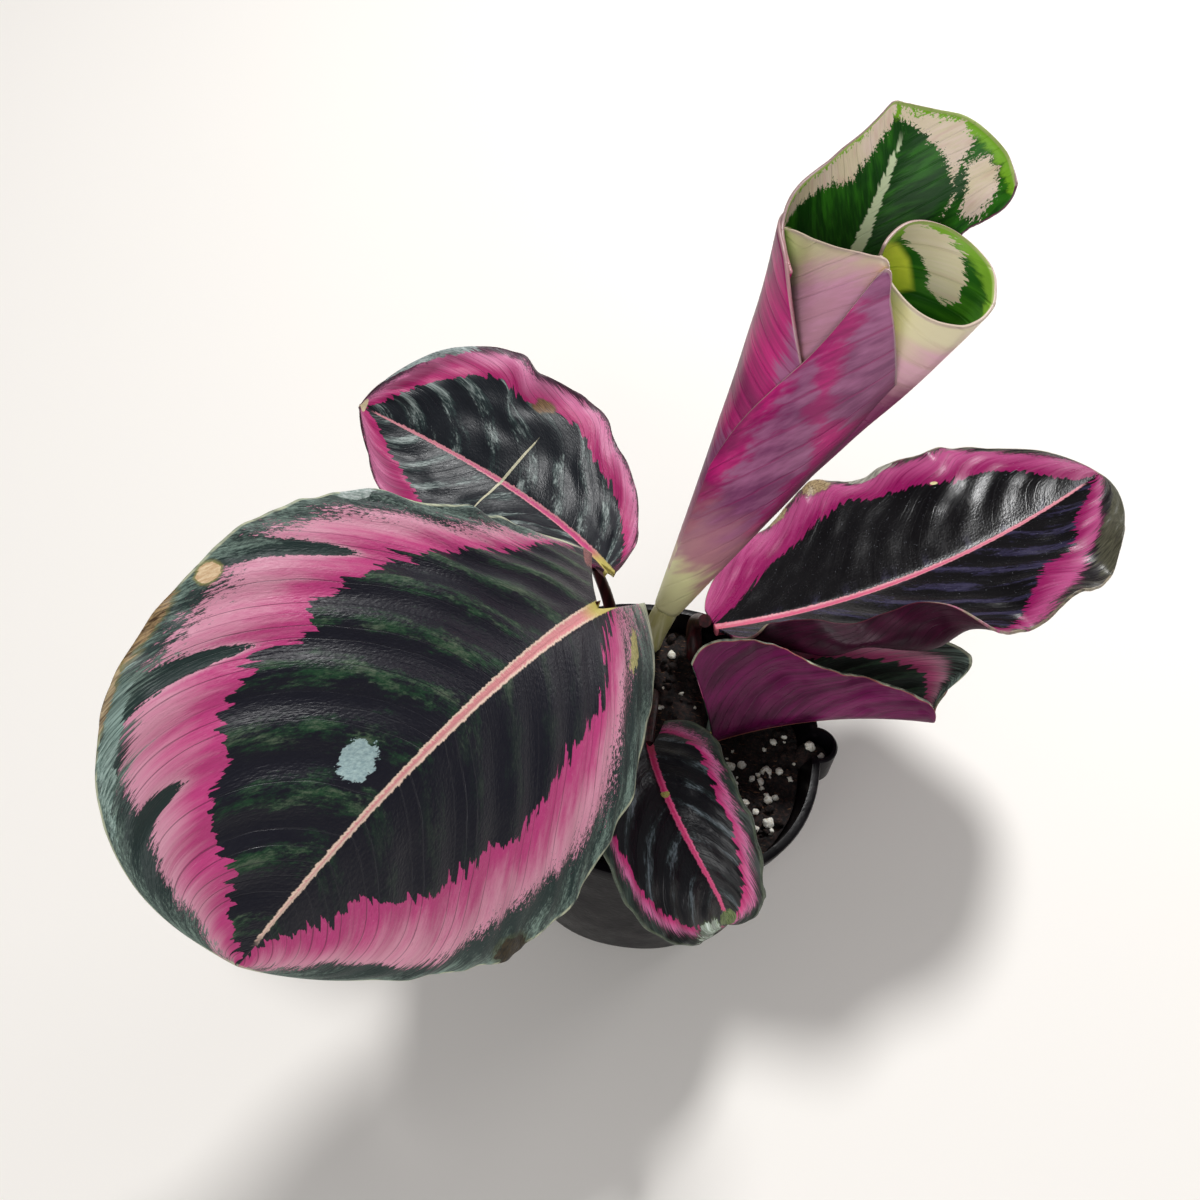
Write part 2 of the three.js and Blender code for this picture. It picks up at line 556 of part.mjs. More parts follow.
function soilGeometry() {
  const edge = (z) => wallRadius(z) - POT_WALL - CLEARANCE;
  const low = POT_FLOOR + CLEARANCE;
  const profile = [[0, low], [edge(low) - 0.3, low], [edge(SOIL_TOP), SOIL_TOP]];
  for (const radius of [38.5, 33, 26, 19, 12, 5]) profile.push([radius, SOIL_TOP]);
  profile.push([0, SOIL_TOP]);
  const body = squared(turned(profile, POT_SIDES));
  const position = body.attributes.position;
  for (let k = 0; k < position.count; k += 1) {
    if (position.getZ(k) < SOIL_TOP - 1) continue;
    const x = position.getX(k);
    const y = position.getY(k);
    if (Math.hypot(x, y) > edge(SOIL_TOP) - 0.5) continue;
    position.setZ(k, soilHeight(x, y));
  }
  let soil = toSolid(body);
  const plugLow = POCKET_FLOOR + POT_WALL + CLEARANCE;
  soil = soil.add(upright(POCKET_RADIUS - POT_WALL - CLEARANCE, plugLow, SOIL_TOP + PLUG_RISE, 14, pocketCentre));
  const random = randomFrom(GRAIN_SEED);
  for (let k = 0; k < GRAIN_COUNT; k += 1) {
    const radius = 38 * Math.sqrt(random());
    const angle = 2 * Math.PI * random();
    const size = GRAIN_SIZE[0] + (GRAIN_SIZE[1] - GRAIN_SIZE[0]) * random();
    const x = radius * Math.cos(angle);
    const y = radius * Math.sin(angle);
    const grain = new THREE.IcosahedronGeometry(size, 0);
    grain.rotateZ(6 * random());
    grain.translate(x, y, soilHeight(x, y) + 0.25 * size);
    soil = soil.add(toSolid(grain));
  }
  for (const { points, foot, head } of Object.values(STALKS)) {
    const start = new THREE.Vector3(...points[0]);
    const inward = start.clone().sub(new THREE.Vector3(...points[1])).normalize();
    const deeper = start.clone().addScaledVector(inward, CLEARANCE).toArray();
    const route = [deeper, ...points.slice(1)];
    soil = soil.subtract(toSolid(stalkGeometry(route, foot + HOLE_GAP, head + HOLE_GAP, HOLE_STEPS)));
  }
  return toGeometry(soil);
}

const plant = new THREE.Group();

function addPiece(name, geometry, look) {
  const mesh = new THREE.Mesh(geometry, new THREE.MeshStandardMaterial(look));
  mesh.name = name;
  plant.add(mesh);
}

addPiece('pot', potGeometry(), potPlastic);
addPiece('soil', soilGeometry(), soilPeat);
for (const [name, { points, foot, head }] of Object.entries(STALKS)) {
  addPiece(name, stalkGeometry(points, foot, head), stalkSkin);
}
for (const [name, spec] of Object.entries(BLADES)) {
  addPiece(name, bladeGeometry(spec), { color: spec.color, roughness: 0.4, metalness: 0 });
}
addPiece('blade_rolled', rolledLeaf(), { color: 0x8a2a68, roughness: 0.45, metalness: 0 });

export default plant;
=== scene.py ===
import math
import random

import bmesh
import bpy
from mathutils import Matrix, Vector, noise


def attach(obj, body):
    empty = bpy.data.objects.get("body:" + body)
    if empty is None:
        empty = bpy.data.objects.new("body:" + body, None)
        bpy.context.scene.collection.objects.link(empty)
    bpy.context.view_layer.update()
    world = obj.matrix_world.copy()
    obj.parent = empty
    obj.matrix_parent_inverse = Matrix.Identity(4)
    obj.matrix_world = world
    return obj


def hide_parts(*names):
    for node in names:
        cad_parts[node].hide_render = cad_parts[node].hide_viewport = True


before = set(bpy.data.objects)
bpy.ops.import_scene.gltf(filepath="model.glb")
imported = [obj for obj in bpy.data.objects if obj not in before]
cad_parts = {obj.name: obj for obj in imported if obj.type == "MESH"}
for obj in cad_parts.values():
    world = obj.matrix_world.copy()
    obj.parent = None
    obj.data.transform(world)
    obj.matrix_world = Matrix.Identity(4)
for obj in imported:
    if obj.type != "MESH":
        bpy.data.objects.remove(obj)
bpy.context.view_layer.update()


# Floor, light and camera
# The plant stands on a plain pale floor under a broad lamp from behind on the right,
# with a weak wide lamp in front. The camera looks down from the front and is turned a little.
AIM = Vector((-0.021, 0.044, 0.068))
CAMERA_PITCH = math.radians(50)
CAMERA_ROLL = math.radians(8)
CAMERA_DISTANCE = 0.362
CAMERA_LENS = 36.09


def srgb(red, green, blue):
    """A colour given as 0 to 255 screen values, as the linear colour that a socket takes."""
    linear = []
    for value in (red, green, blue):
        share = value / 255
        linear.append(share / 12.92 if share <= 0.04045 else ((share + 0.055) / 1.055) ** 2.4)
    return (*linear, 1.0)


def add_node(tree, kind, *feeds, **settings):
    """Adds a shader node, sets it, and feeds its inputs in order with sockets, numbers or colours."""
    node = tree.nodes.new("ShaderNode" + kind)
    for key, value in settings.items():
        setattr(node, key, value)
    for index, feed in enumerate(feeds):
        if isinstance(feed, bpy.types.NodeSocket):
            tree.links.new(feed, node.inputs[index])
        elif feed is not None:
            node.inputs[index].default_value = feed
    return node


def math_node(tree, operation, *feeds, clamp=False):
    return add_node(tree, "Math", *feeds, operation=operation, use_clamp=clamp).outputs[0]


def fade(tree, value, low, high):
    """0 below low, 1 above high, smooth between; low may be above high."""
    node = add_node(tree, "MapRange", value, low, high, 0.0, 1.0, interpolation_type="SMOOTHSTEP")
    return node.outputs[0]


def mixed(tree, share, first, second, blend="MIX"):
    node = tree.nodes.new("ShaderNodeMix")
    node.data_type = "RGBA"
    node.blend_type = blend
    for socket, feed in ((node.inputs[0], share), (node.inputs[6], first), (node.inputs[7], second)):
        if isinstance(feed, bpy.types.NodeSocket):
            tree.links.new(feed, socket)
        else:
            socket.default_value = feed
    return node.outputs[2]


def rough_field(tree, vector, scale, detail=2.0, roughness=0.5):
    """Noise from 0 to 1 around 0.5."""
    node = add_node(tree, "TexNoise", vector)
    node.inputs["Scale"].default_value = scale
    node.inputs["Detail"].default_value = detail
    node.inputs["Roughness"].default_value = roughness
    return node.outputs["Fac"]


def new_material(name):
    material = bpy.data.materials.new(name)
    material.use_nodes = True
    tree = material.node_tree
    tree.nodes.clear()
    surface = add_node(tree, "BsdfPrincipled")
    output = add_node(tree, "OutputMaterial")
    tree.links.new(surface.outputs[0], output.inputs[0])
    return material, tree, surface


def feed(tree, socket, source):
    tree.links.new(source, socket)


def piece_from(bm, name, *materials, smooth=True):
    mesh = bpy.data.meshes.new(name)
    bm.to_mesh(mesh)
    bm.free()
    for polygon in mesh.polygons:
        polygon.use_smooth = smooth
    for material in materials:
        mesh.materials.append(material)
    piece = bpy.data.objects.new(name, mesh)
    bpy.context.scene.collection.objects.link(piece)
    return piece


floor_material, tree, surface = new_material("pale_floor")
surface.inputs["Base Color"].default_value = srgb(250, 246, 240)
surface.inputs["Roughness"].default_value = 0.6
bm = bmesh.new()
bmesh.ops.create_grid(bm, x_segments=1, y_segments=1, size=4)
floor = piece_from(bm, "floor", floor_material, smooth=False)

world = bpy.data.worlds.new("pale_room")
world.use_nodes = True
world.node_tree.nodes["Background"].inputs[0].default_value = srgb(252, 250, 252)
world.node_tree.nodes["Background"].inputs[1].default_value = 0.21
bpy.context.scene.world = world
bpy.context.scene.view_settings.view_transform = "Standard"


def add_lamp(name, azimuth, elevation, distance, size, power):
    light = bpy.data.lights.new(name, "AREA")
    light.shape = "DISK"
    light.size = size
    light.energy = power
    lamp = bpy.data.objects.new(name, light)
    flat = math.cos(math.radians(elevation))
    away = Vector((flat * math.cos(math.radians(azimuth)), flat * math.sin(math.radians(azimuth)),
                   math.sin(math.radians(elevation))))
    lamp.location = AIM + distance * away
    lamp.rotation_euler = away.to_track_quat("Z", "Y").to_euler()
    bpy.context.scene.collection.objects.link(lamp)


add_lamp("key_lamp", 72, 52, 1.5, 0.26, 18)
add_lamp("low_lamp", 40, 12, 1.2, 0.5, 3)
add_lamp("fill_lamp", -105, 25, 1.3, 0.9, 8)


forward = Vector((0, math.cos(CAMERA_PITCH), -math.sin(CAMERA_PITCH)))
level_right = Vector((1, 0, 0))
level_up = level_right.cross(forward)
right = math.cos(CAMERA_ROLL) * level_right + math.sin(CAMERA_ROLL) * level_up
up = math.cos(CAMERA_ROLL) * level_up - math.sin(CAMERA_ROLL) * level_right
camera_data = bpy.data.cameras.new("camera")
camera_data.sensor_width = 36
camera_data.lens = CAMERA_LENS
camera_data.clip_start = 0.01
camera = bpy.data.objects.new("camera", camera_data)
turn = Matrix((right, up, -forward)).transposed().to_4x4()
camera.matrix_world = Matrix.Translation(AIM - CAMERA_DISTANCE * forward) @ turn
bpy.context.scene.collection.objects.link(camera)
bpy.context.scene.camera = camera


# Pot
# A thin black nursery pot, pressed from plastic: tapered, slightly flattened on four sides, with a
# turned-out lip, a small pocket on the right that holds a label, and slots at the foot for drainage.
POT_HEIGHT = 0.068
POT_BASE_RADIUS = 0.034
POT_RIM_RADIUS = 0.044
POT_WALL = 0.0013
POT_FLOOR = 0.0024
POT_SQUARENESS = 2.25
LIP_HEIGHT = 0.006
LIP_WIDTH = 0.0016
DRAIN_SLOTS = 4
DRAIN_SLOT_SIZE = Vector((0.008, 0.011, 0.004))
POCKET_ANGLE = math.radians(4)
POCKET_REACH = 0.0446
POCKET_RADIUS = 0.006
POCKET_FLOOR = 0.057


def wall_radius(z):
    return POT_BASE_RADIUS + (POT_RIM_RADIUS - POT_BASE_RADIUS) * z / POT_HEIGHT


def square_up(bm):
    """Moves the points of a round shape out a little towards four corners."""
    for vert in bm.verts:
        radius = math.hypot(vert.co.x, vert.co.y)
        if radius < 1e-7:
            continue
        share = abs(vert.co.x / radius) ** POT_SQUARENESS + abs(vert.co.y / radius) ** POT_SQUARENESS
        grown = share ** (-1 / POT_SQUARENESS)
        vert.co.x *= grown
        vert.co.y *= grown


def spun(profile, steps, centre=(0, 0)):
    """A closed turned solid from a profile of (radius, height) that starts and ends on the axis."""
    bm = bmesh.new()
    verts = [bm.verts.new((radius, 0, z)) for radius, z in profile]
    edges = [bm.edges.new(pair) for pair in zip(verts, verts[1:])]
    bmesh.ops.spin(bm, geom=verts + edges, cent=(0, 0, 0), axis=(0, 0, 1), angle=2 * math.pi,
                   steps=steps, use_merge=True)
    bmesh.ops.remove_doubles(bm, verts=bm.verts, dist=1e-6)
    bmesh.ops.recalc_face_normals(bm, faces=bm.faces)
    bmesh.ops.translate(bm, verts=bm.verts, vec=(*centre, 0))
    return bm


def cut_or_join(piece, tool_bm, operation):
    """Cuts a tool shape out of a piece, or joins it on."""
    tool = piece_from(tool_bm, "tool", smooth=False)
    modifier = piece.modifiers.new("shape", "BOOLEAN")
    modifier.operation = operation
    modifier.solver = "EXACT"
    modifier.object = tool
    graph = bpy.context.evaluated_depsgraph_get()
    shaped = bpy.data.meshes.new_from_object(piece.evaluated_get(graph))
    piece.modifiers.clear()
    old = piece.data
    piece.data = shaped
    bpy.data.meshes.remove(old)
    bpy.data.objects.remove(tool)


plastic, tree, surface = new_material("black_pot_plastic")
place = add_node(tree, "TexCoord").outputs["Object"]
scuffs = rough_field(tree, place, 90, 5, 0.65)
dust = fade(tree, rough_field(tree, place, 260, 3), 0.56, 0.72)
tone = mixed(tree, fade(tree, scuffs, 0.45, 0.75), srgb(9, 7, 10), srgb(18, 15, 20))
feed(tree, surface.inputs["Base Color"], mixed(tree, dust, tone, srgb(30, 25, 28)))
surface.inputs["Specular IOR Level"].default_value = 0.12
gloss = add_node(tree, "MapRange", scuffs, 0.3, 0.8, 0.24, 0.5).outputs[0]
feed(tree, surface.inputs["Roughness"], gloss)
orange_peel = add_node(tree, "Bump")
orange_peel.inputs["Strength"].default_value = 0.25
orange_peel.inputs["Distance"].default_value = 0.0003
feed(tree, orange_peel.inputs["Height"], rough_field(tree, place, 700, 2))
feed(tree, surface.inputs["Normal"], orange_peel.outputs[0])

lip_foot = POT_HEIGHT - LIP_HEIGHT
pocket_centre = (POCKET_REACH * math.cos(POCKET_ANGLE), POCKET_REACH * math.sin(POCKET_ANGLE))
outside = spun([
    (0, 0), (POT_BASE_RADIUS - 0.0016, 0), (POT_BASE_RADIUS - 0.0004, 0.0003), (wall_radius(0.0016), 0.0016),
    (wall_radius(0.02), 0.02), (wall_radius(0.04), 0.04), (wall_radius(lip_foot), lip_foot),
    (wall_radius(lip_foot) + LIP_WIDTH, lip_foot + 0.0009), (wall_radius(lip_foot) + LIP_WIDTH, lip_foot + 0.0013),
    (wall_radius(POT_HEIGHT) + LIP_WIDTH, POT_HEIGHT - 0.0007), (wall_radius(POT_HEIGHT) + LIP_WIDTH - 0.0002,
    POT_HEIGHT - 0.0002), (wall_radius(POT_HEIGHT) + LIP_WIDTH - 0.0007, POT_HEIGHT), (0, POT_HEIGHT),
], 96)
square_up(outside)
inside = spun([
    (0, POT_FLOOR), (wall_radius(POT_FLOOR) - POT_WALL, POT_FLOOR), (wall_radius(lip_foot) - POT_WALL, lip_foot),
    (wall_radius(POT_HEIGHT) - POT_WALL + 0.0008, POT_HEIGHT + 0.001), (0, POT_HEIGHT + 0.001),
], 96)
square_up(inside)
pocket = spun([
    (0, POCKET_FLOOR), (POCKET_RADIUS - 0.0008, POCKET_FLOOR), (POCKET_RADIUS, POCKET_FLOOR + 0.0008),
    (POCKET_RADIUS, POT_HEIGHT - 0.0004), (POCKET_RADIUS - 0.0004, POT_HEIGHT), (0, POT_HEIGHT),
], 40, pocket_centre)
pocket_room = spun([
    (0, POCKET_FLOOR + POT_WALL), (POCKET_RADIUS - POT_WALL, POCKET_FLOOR + POT_WALL),
    (POCKET_RADIUS - POT_WALL, POT_HEIGHT + 0.002), (0, POT_HEIGHT + 0.002),
], 40, pocket_centre)
pot = piece_from(outside, "pot_shell", plastic)
cut_or_join(pot, pocket, "UNION")
cut_or_join(pot, inside, "DIFFERENCE")
cut_or_join(pot, pocket_room, "DIFFERENCE")
for index in range(DRAIN_SLOTS):
    slot = bmesh.new()
    bmesh.ops.create_cube(slot, size=1)
    bmesh.ops.scale(slot, verts=slot.verts, vec=DRAIN_SLOT_SIZE)
    bmesh.ops.translate(slot, verts=slot.verts, vec=(POT_BASE_RADIUS, 0, DRAIN_SLOT_SIZE.z / 2 - 0.0005))
    bmesh.ops.rotate(slot, verts=slot.verts, cent=(0, 0, 0),
                     matrix=Matrix.Rotation((index + 0.5) * 2 * math.pi / DRAIN_SLOTS, 3, "Z"))
    cut_or_join(pot, slot, "DIFFERENCE")
for polygon in pot.data.polygons:
    polygon.use_smooth = True
pot.data.set_sharp_from_angle(angle=math.radians(35))
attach(pot, "root")
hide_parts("pot")


# Soil
# Damp dark peat that fills the pot to a little below the lip and the label pocket, heaped slightly
# round the stalks. Brown crumbs and white perlite grains lie in its surface.
SOIL_TOP = 0.0595
SOIL_MOUND = 0.0025
SOIL_GAP = 0.00035
CRUMB_COUNT = 420
PERLITE_COUNT = 95


def soil_height(x, y):
    mound = SOIL_MOUND * math.exp(-((x + 0.001) ** 2 + (y - 0.022) ** 2) / 0.0005)
    swell = 0.0007 * math.sin(x / 0.0053 + 1.2) * math.sin(y / 0.0044)
    return SOIL_TOP + mound + swell + 0.0004 * math.sin(x / 0.0027 - y / 0.0031)


def lumps(x, y):
    """Fine unevenness of the soil: clods of several sizes."""
    height = 0
    for size, amount in ((0.0035, 0.0009), (0.0016, 0.0006), (0.0007, 0.0003)):
        height += amount * noise.noise(Vector((x, y, 0.3)) / size)
    return height


peat, tree, surface = new_material("damp_peat")
place = add_node(tree, "TexCoord").outputs["Object"]
clods = rough_field(tree, place, 900, 5, 0.7)
fibres = rough_field(tree, add_node(tree, "Mapping", place, None, None, (300, 1900, 900)).outputs[0], 1, 4)
tone = mixed(tree, fade(tree, clods, 0.42, 0.7), srgb(11, 8, 9), srgb(58, 36, 30))
tone = mixed(tree, fade(tree, fibres, 0.62, 0.72), tone, srgb(122, 88, 62))
feed(tree, surface.inputs["Base Color"], tone)
surface.inputs["Roughness"].default_value = 0.92
grit = add_node(tree, "Bump")
grit.inputs["Strength"].default_value = 0.8
grit.inputs["Distance"].default_value = 0.0006
feed(tree, grit.inputs["Height"], clods)
feed(tree, surface.inputs["Normal"], grit.outputs[0])

bm = bmesh.new()
bmesh.ops.create_grid(bm, x_segments=150, y_segments=150, size=1)
rim = wall_radius(SOIL_TOP) - POT_WALL - SOIL_GAP
for vert in bm.verts:
    x, y = vert.co.x, vert.co.y
    disc_x = x * math.sqrt(1 - y * y / 2) * rim
    disc_y = y * math.sqrt(1 - x * x / 2) * rim
    vert.co = Vector((disc_x, disc_y, 0))
square_up(bm)
border = [edge for edge in bm.edges if edge.is_boundary]
for vert in bm.verts:
    vert.co.z = soil_height(vert.co.x, vert.co.y) + lumps(vert.co.x, vert.co.y)
skirt = bmesh.ops.extrude_edge_only(bm, edges=border)
low_verts = [item for item in skirt["geom"] if isinstance(item, bmesh.types.BMVert)]
soil_floor = POT_FLOOR + SOIL_GAP
shrink = (wall_radius(soil_floor) - POT_WALL - SOIL_GAP) / rim
for vert in low_verts:
    vert.co = Vector((vert.co.x * shrink, vert.co.y * shrink, soil_floor))
bmesh.ops.contextual_create(bm, geom=[e for e in bm.edges if e.is_boundary])
bmesh.ops.recalc_face_normals(bm, faces=bm.faces)
soil = piece_from(bm, "soil_body", peat)
plug_top = SOIL_TOP + 0.0035
plug = spun([
    (0, POCKET_FLOOR + POT_WALL + SOIL_GAP),
    (POCKET_RADIUS - POT_WALL - SOIL_GAP, POCKET_FLOOR + POT_WALL + SOIL_GAP),
    (POCKET_RADIUS - POT_WALL - SOIL_GAP, plug_top - 0.001), (0.003, plug_top), (0, plug_top + 0.0003),
], 24, pocket_centre)
cut_or_join(soil, plug, "UNION")
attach(soil, "root")
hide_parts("soil")


def scatter(name, count, seed, sizes, subdivisions, material, sink, jitter, extra=()):
    """Lumps of uneven shape lying in the soil's surface, placed by a seeded rule."""
    draw = random.Random(seed)
    bm = bmesh.new()
    spots = list(extra)
    while len(spots) < count:
        radius = 0.0405 * math.sqrt(draw.random())
        angle = 2 * math.pi * draw.random()
        spots.append((radius * math.cos(angle), radius * math.sin(angle)))
    for x, y in spots:
        size = sizes[0] + (sizes[1] - sizes[0]) * draw.random() ** 2
        squash = Matrix.Diagonal((1, 0.75 + 0.4 * draw.random(), 0.6 + 0.4 * draw.random(), 1))
        spin = Matrix.Rotation(6.3 * draw.random(), 4, "Z") @ Matrix.Rotation(6.3 * draw.random(), 4, "X")
        in_pocket = math.hypot(x - pocket_centre[0], y - pocket_centre[1]) < POCKET_RADIUS - POT_WALL
        ground = plug_top if in_pocket else soil_height(x, y) + lumps(x, y)
        middle = Matrix.Translation((x, y, ground + size * (0.5 - sink)))
        made = bmesh.ops.create_icosphere(bm, subdivisions=subdivisions, radius=size / 2, matrix=middle @ spin @ squash)
        offset = Vector((draw.random(), draw.random(), draw.random())) * 9
        for vert in made["verts"]:
            away = (vert.co - middle.translation)
            vert.co += away * jitter * noise.noise(away / size * 3 + offset)
    piece = piece_from(bm, name, material)
    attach(piece, "root")


perlite, tree, surface = new_material("perlite")
place = add_node(tree, "TexCoord").outputs["Object"]
pores = rough_field(tree, place, 1500, 3, 0.6)
feed(tree, surface.inputs["Base Color"], mixed(tree, fade(tree, pores, 0.3, 0.6), srgb(206, 194, 170), srgb(250, 250, 240)))
surface.inputs["Roughness"].default_value = 0.85
pitted = add_node(tree, "Bump")
pitted.inputs["Strength"].default_value = 0.6
pitted.inputs["Distance"].default_value = 0.0003
feed(tree, pitted.inputs["Height"], pores)
feed(tree, surface.inputs["Normal"], pitted.outputs[0])

chosen_grains = [(0.0248, -0.0024), (0.0319, -0.0029), (0.0368, 0.0092), (0.0337, 0.0069), (0.028, -0.0062),
                 (0.0302, -0.0068), (0.0233, -0.0089), (0.0326, -0.0122), (0.0348, -0.0106), (0.0327, -0.0201),
                 (0.0289, -0.0219), (0.0333, -0.0224), (0.0025, 0.0313), (0.0262, -0.0142), (0.0216, -0.0036),
                 (0.0292, -0.0166), (0.0355, -0.0028),
                 (pocket_centre[0] - 0.001, pocket_centre[1] + 0.0018),
                 (pocket_centre[0] + 0.0022, pocket_centre[1] - 0.001)]
scatter("crumbs", CRUMB_COUNT, 3, (0.0008, 0.0032), 2, peat, 0.3, 0.9)
scatter("perlite_grains", PERLITE_COUNT, 8, (0.0007, 0.0018), 2, perlite, 0.3, 0.7)
scatter("large_perlite_grains", len(chosen_grains), 5, (0.0018, 0.0032), 3, perlite, 0.25, 0.35, chosen_grains)



# Leaf blades: the form that all five flat leaves share
# A blade is a thin sheet along a midrib that bends and rolls, wider towards the base, folded along
# the midrib, cupped, and waved at the margin. s runs from 0 at the base to 1 at the tip,
# t from -1 at the left margin to 1 at the right one, seen from the base.
BLADE_THICKNESS = 0.0008
RIB_HEIGHT = 0.0013
RIB_TAPER = 0.7
LEAST_HALF_WIDTH = 0.0005
BASE_CROWDING = 0.12
SPINE_STEPS = 240
FOLD_STEPS = 24
VEIN_LEAN = 0.16
VEIN_CURVE = 0.28
SWEEP_SCALE = 6.75


def ease(x, low, high):
    share = min(max((x - low) / (high - low), 0), 1)
    return share * share * (3 - 2 * share)


def along(pairs, x):
    """A value at x on a smooth curve through a list of (x, value) pairs."""
    last = len(pairs) - 1
    if x <= pairs[0][0]:
        return pairs[0][1]
    if x >= pairs[last][0]:
        return pairs[last][1]
    i = 0
    while x > pairs[i + 1][0]:
        i += 1

    def slope(k):
        a, b = pairs[max(k - 1, 0)], pairs[min(k + 1, last)]
        return (b[1] - a[1]) / (b[0] - a[0])

    span = pairs[i + 1][0] - pairs[i][0]
    u = (x - pairs[i][0]) / span
    ends = (1 + 2 * u) * (1 - u) ** 2 * pairs[i][1] + u * u * (3 - 2 * u) * pairs[i + 1][1]
    return ends + span * (u * (1 - u) ** 2 * slope(i) - u * u * (1 - u) * slope(i + 1))


def between(pair, share):
    return pair[0] + (pair[1] - pair[0]) * share


def midrib_direction(leaf, s):
    heading = math.radians(between(leaf["heading"], s))
    rise = math.radians(between(leaf["rise"], s))
    return Vector((math.cos(rise) * math.cos(heading), math.cos(rise) * math.sin(heading), math.sin(rise)))


def blade_axes(leaf, s):
    forward = midrib_direction(leaf, s)
    heading = math.radians(between(leaf["heading"], s))
    level = Vector((math.sin(heading), -math.cos(heading), 0))
    side = Matrix.Rotation(-math.radians(between(leaf["roll"], s)), 3, forward) @ level
    return forward, side, side.cross(forward)


def midrib_points(leaf, places):
    """The midrib's points at each of the places, in rising order, by adding up short steps."""
    point = Vector(leaf["base"])
    found = []
    done = 0
    for s in places:
        steps = max(1, round((s - done) * SPINE_STEPS))
        for k in range(steps):
            middle = done + (s - done) * (k + 0.5) / steps
            point = point + midrib_direction(leaf, middle) * (leaf["length"] * (s - done) / steps)
        done = s
        found.append(point.copy())
    return found


def half_width(leaf, half, s):
    def width(x):
        return (x + leaf["root"]) ** leaf["bulge"] * max(1 - x, 0) ** leaf["taper"]

    widest = (leaf["bulge"] - leaf["taper"] * leaf["root"]) / (leaf["bulge"] + leaf["taper"])
    edge = along(half["edge"], s) if "edge" in half else 1
    return max(half["width"] * width(s) / width(widest) * edge, LEAST_HALF_WIDTH)


def vein_place(s, reach):
    """Where the side vein through a point leaves the midrib: side veins curve towards the tip."""
    return s - reach * (VEIN_LEAN + VEIN_CURVE * reach)


def row_place(share):
    def rounded(x):
        return 0.5 - 0.5 * math.cos(math.pi * (BASE_CROWDING + (1 - BASE_CROWDING) * x))

    return (rounded(share) - rounded(0)) / (1 - rounded(0))


def fold_angle(half, s, reach, width):
    """The half's slope against the blade's level: its fold, and the hem where its margin turns up."""
    angle = math.radians(half["fold"])
    if "fold_spread" in half:
        angle *= ease(reach * width, *half["fold_spread"])
    if "hem" in half:
        start, full, fading, end = half["hem"]["places"]
        present = ease(s, start, full) * (1 - ease(s, fading, end))
        breadth = half["hem"]["width"]
        angle += math.radians(half["hem"]["angle"]) * present * ease(reach, 1 - breadth, 1 - breadth / 2)
    return angle


def blade_point(leaf, s, t, spot, axes):
    forward, side, up = axes
    sign = -1 if t < 0 else 1
    half = leaf["left"] if t < 0 else leaf["right"]
    reach = abs(t)
    width = half_width(leaf, half, s)
    steps = FOLD_STEPS if "hem" in half or "fold_spread" in half else 1
    across = 0
    rise = -leaf["cup"] * width * reach * reach
    for k in range(steps):
        angle = fold_angle(half, s, (k + 0.5) / steps * reach, width)
        across += math.cos(angle) * width * reach / steps
        rise += math.sin(angle) * width * reach / steps
    tilt = sign * (fold_angle(half, s, reach, width) - 2 * leaf["cup"] * reach) if reach > 0 else 0
    normal = math.cos(tilt) * up - math.sin(tilt) * side
    ends = ease(s, 0, 0.15) * ease(1 - s, 0, 0.12)
    count, size, shift = half["wave"]
    waving = size * reach ** 2.5 * math.sin(2 * math.pi * (count * s + shift)) * ends
    phase = leaf["ribs"] * vein_place(s, reach)
    ribbing = half["rib_size"] * math.sin(2 * math.pi * phase) * ease(reach, 0, 0.3) * ends
    back = half["lobe"] * leaf["length"] * (1 - s) ** 4 * reach ** 1.5
    ahead = half.get("sweep", 0) * leaf["length"] * SWEEP_SCALE * s * s * (1 - s) * reach ** 1.5
    groove = -0.0005 * math.exp(-(reach * width / 0.0014) ** 2) * (1 - s)
    crumple = leaf["crumple"] * noise.noise(Vector((s * 8, t * 4, leaf["seed"]))) * ease(reach, 0.05, 0.5) * ends
    frill = half.get("frill", 0) * noise.noise(Vector((s * 26, sign * 3, leaf["seed"]))) * ease(reach, 0.8, 1) * ends
    point = spot + sign * across * side + rise * up + (ahead - back) * forward
    return point + (waving + ribbing + groove + crumple + frill) * normal, width


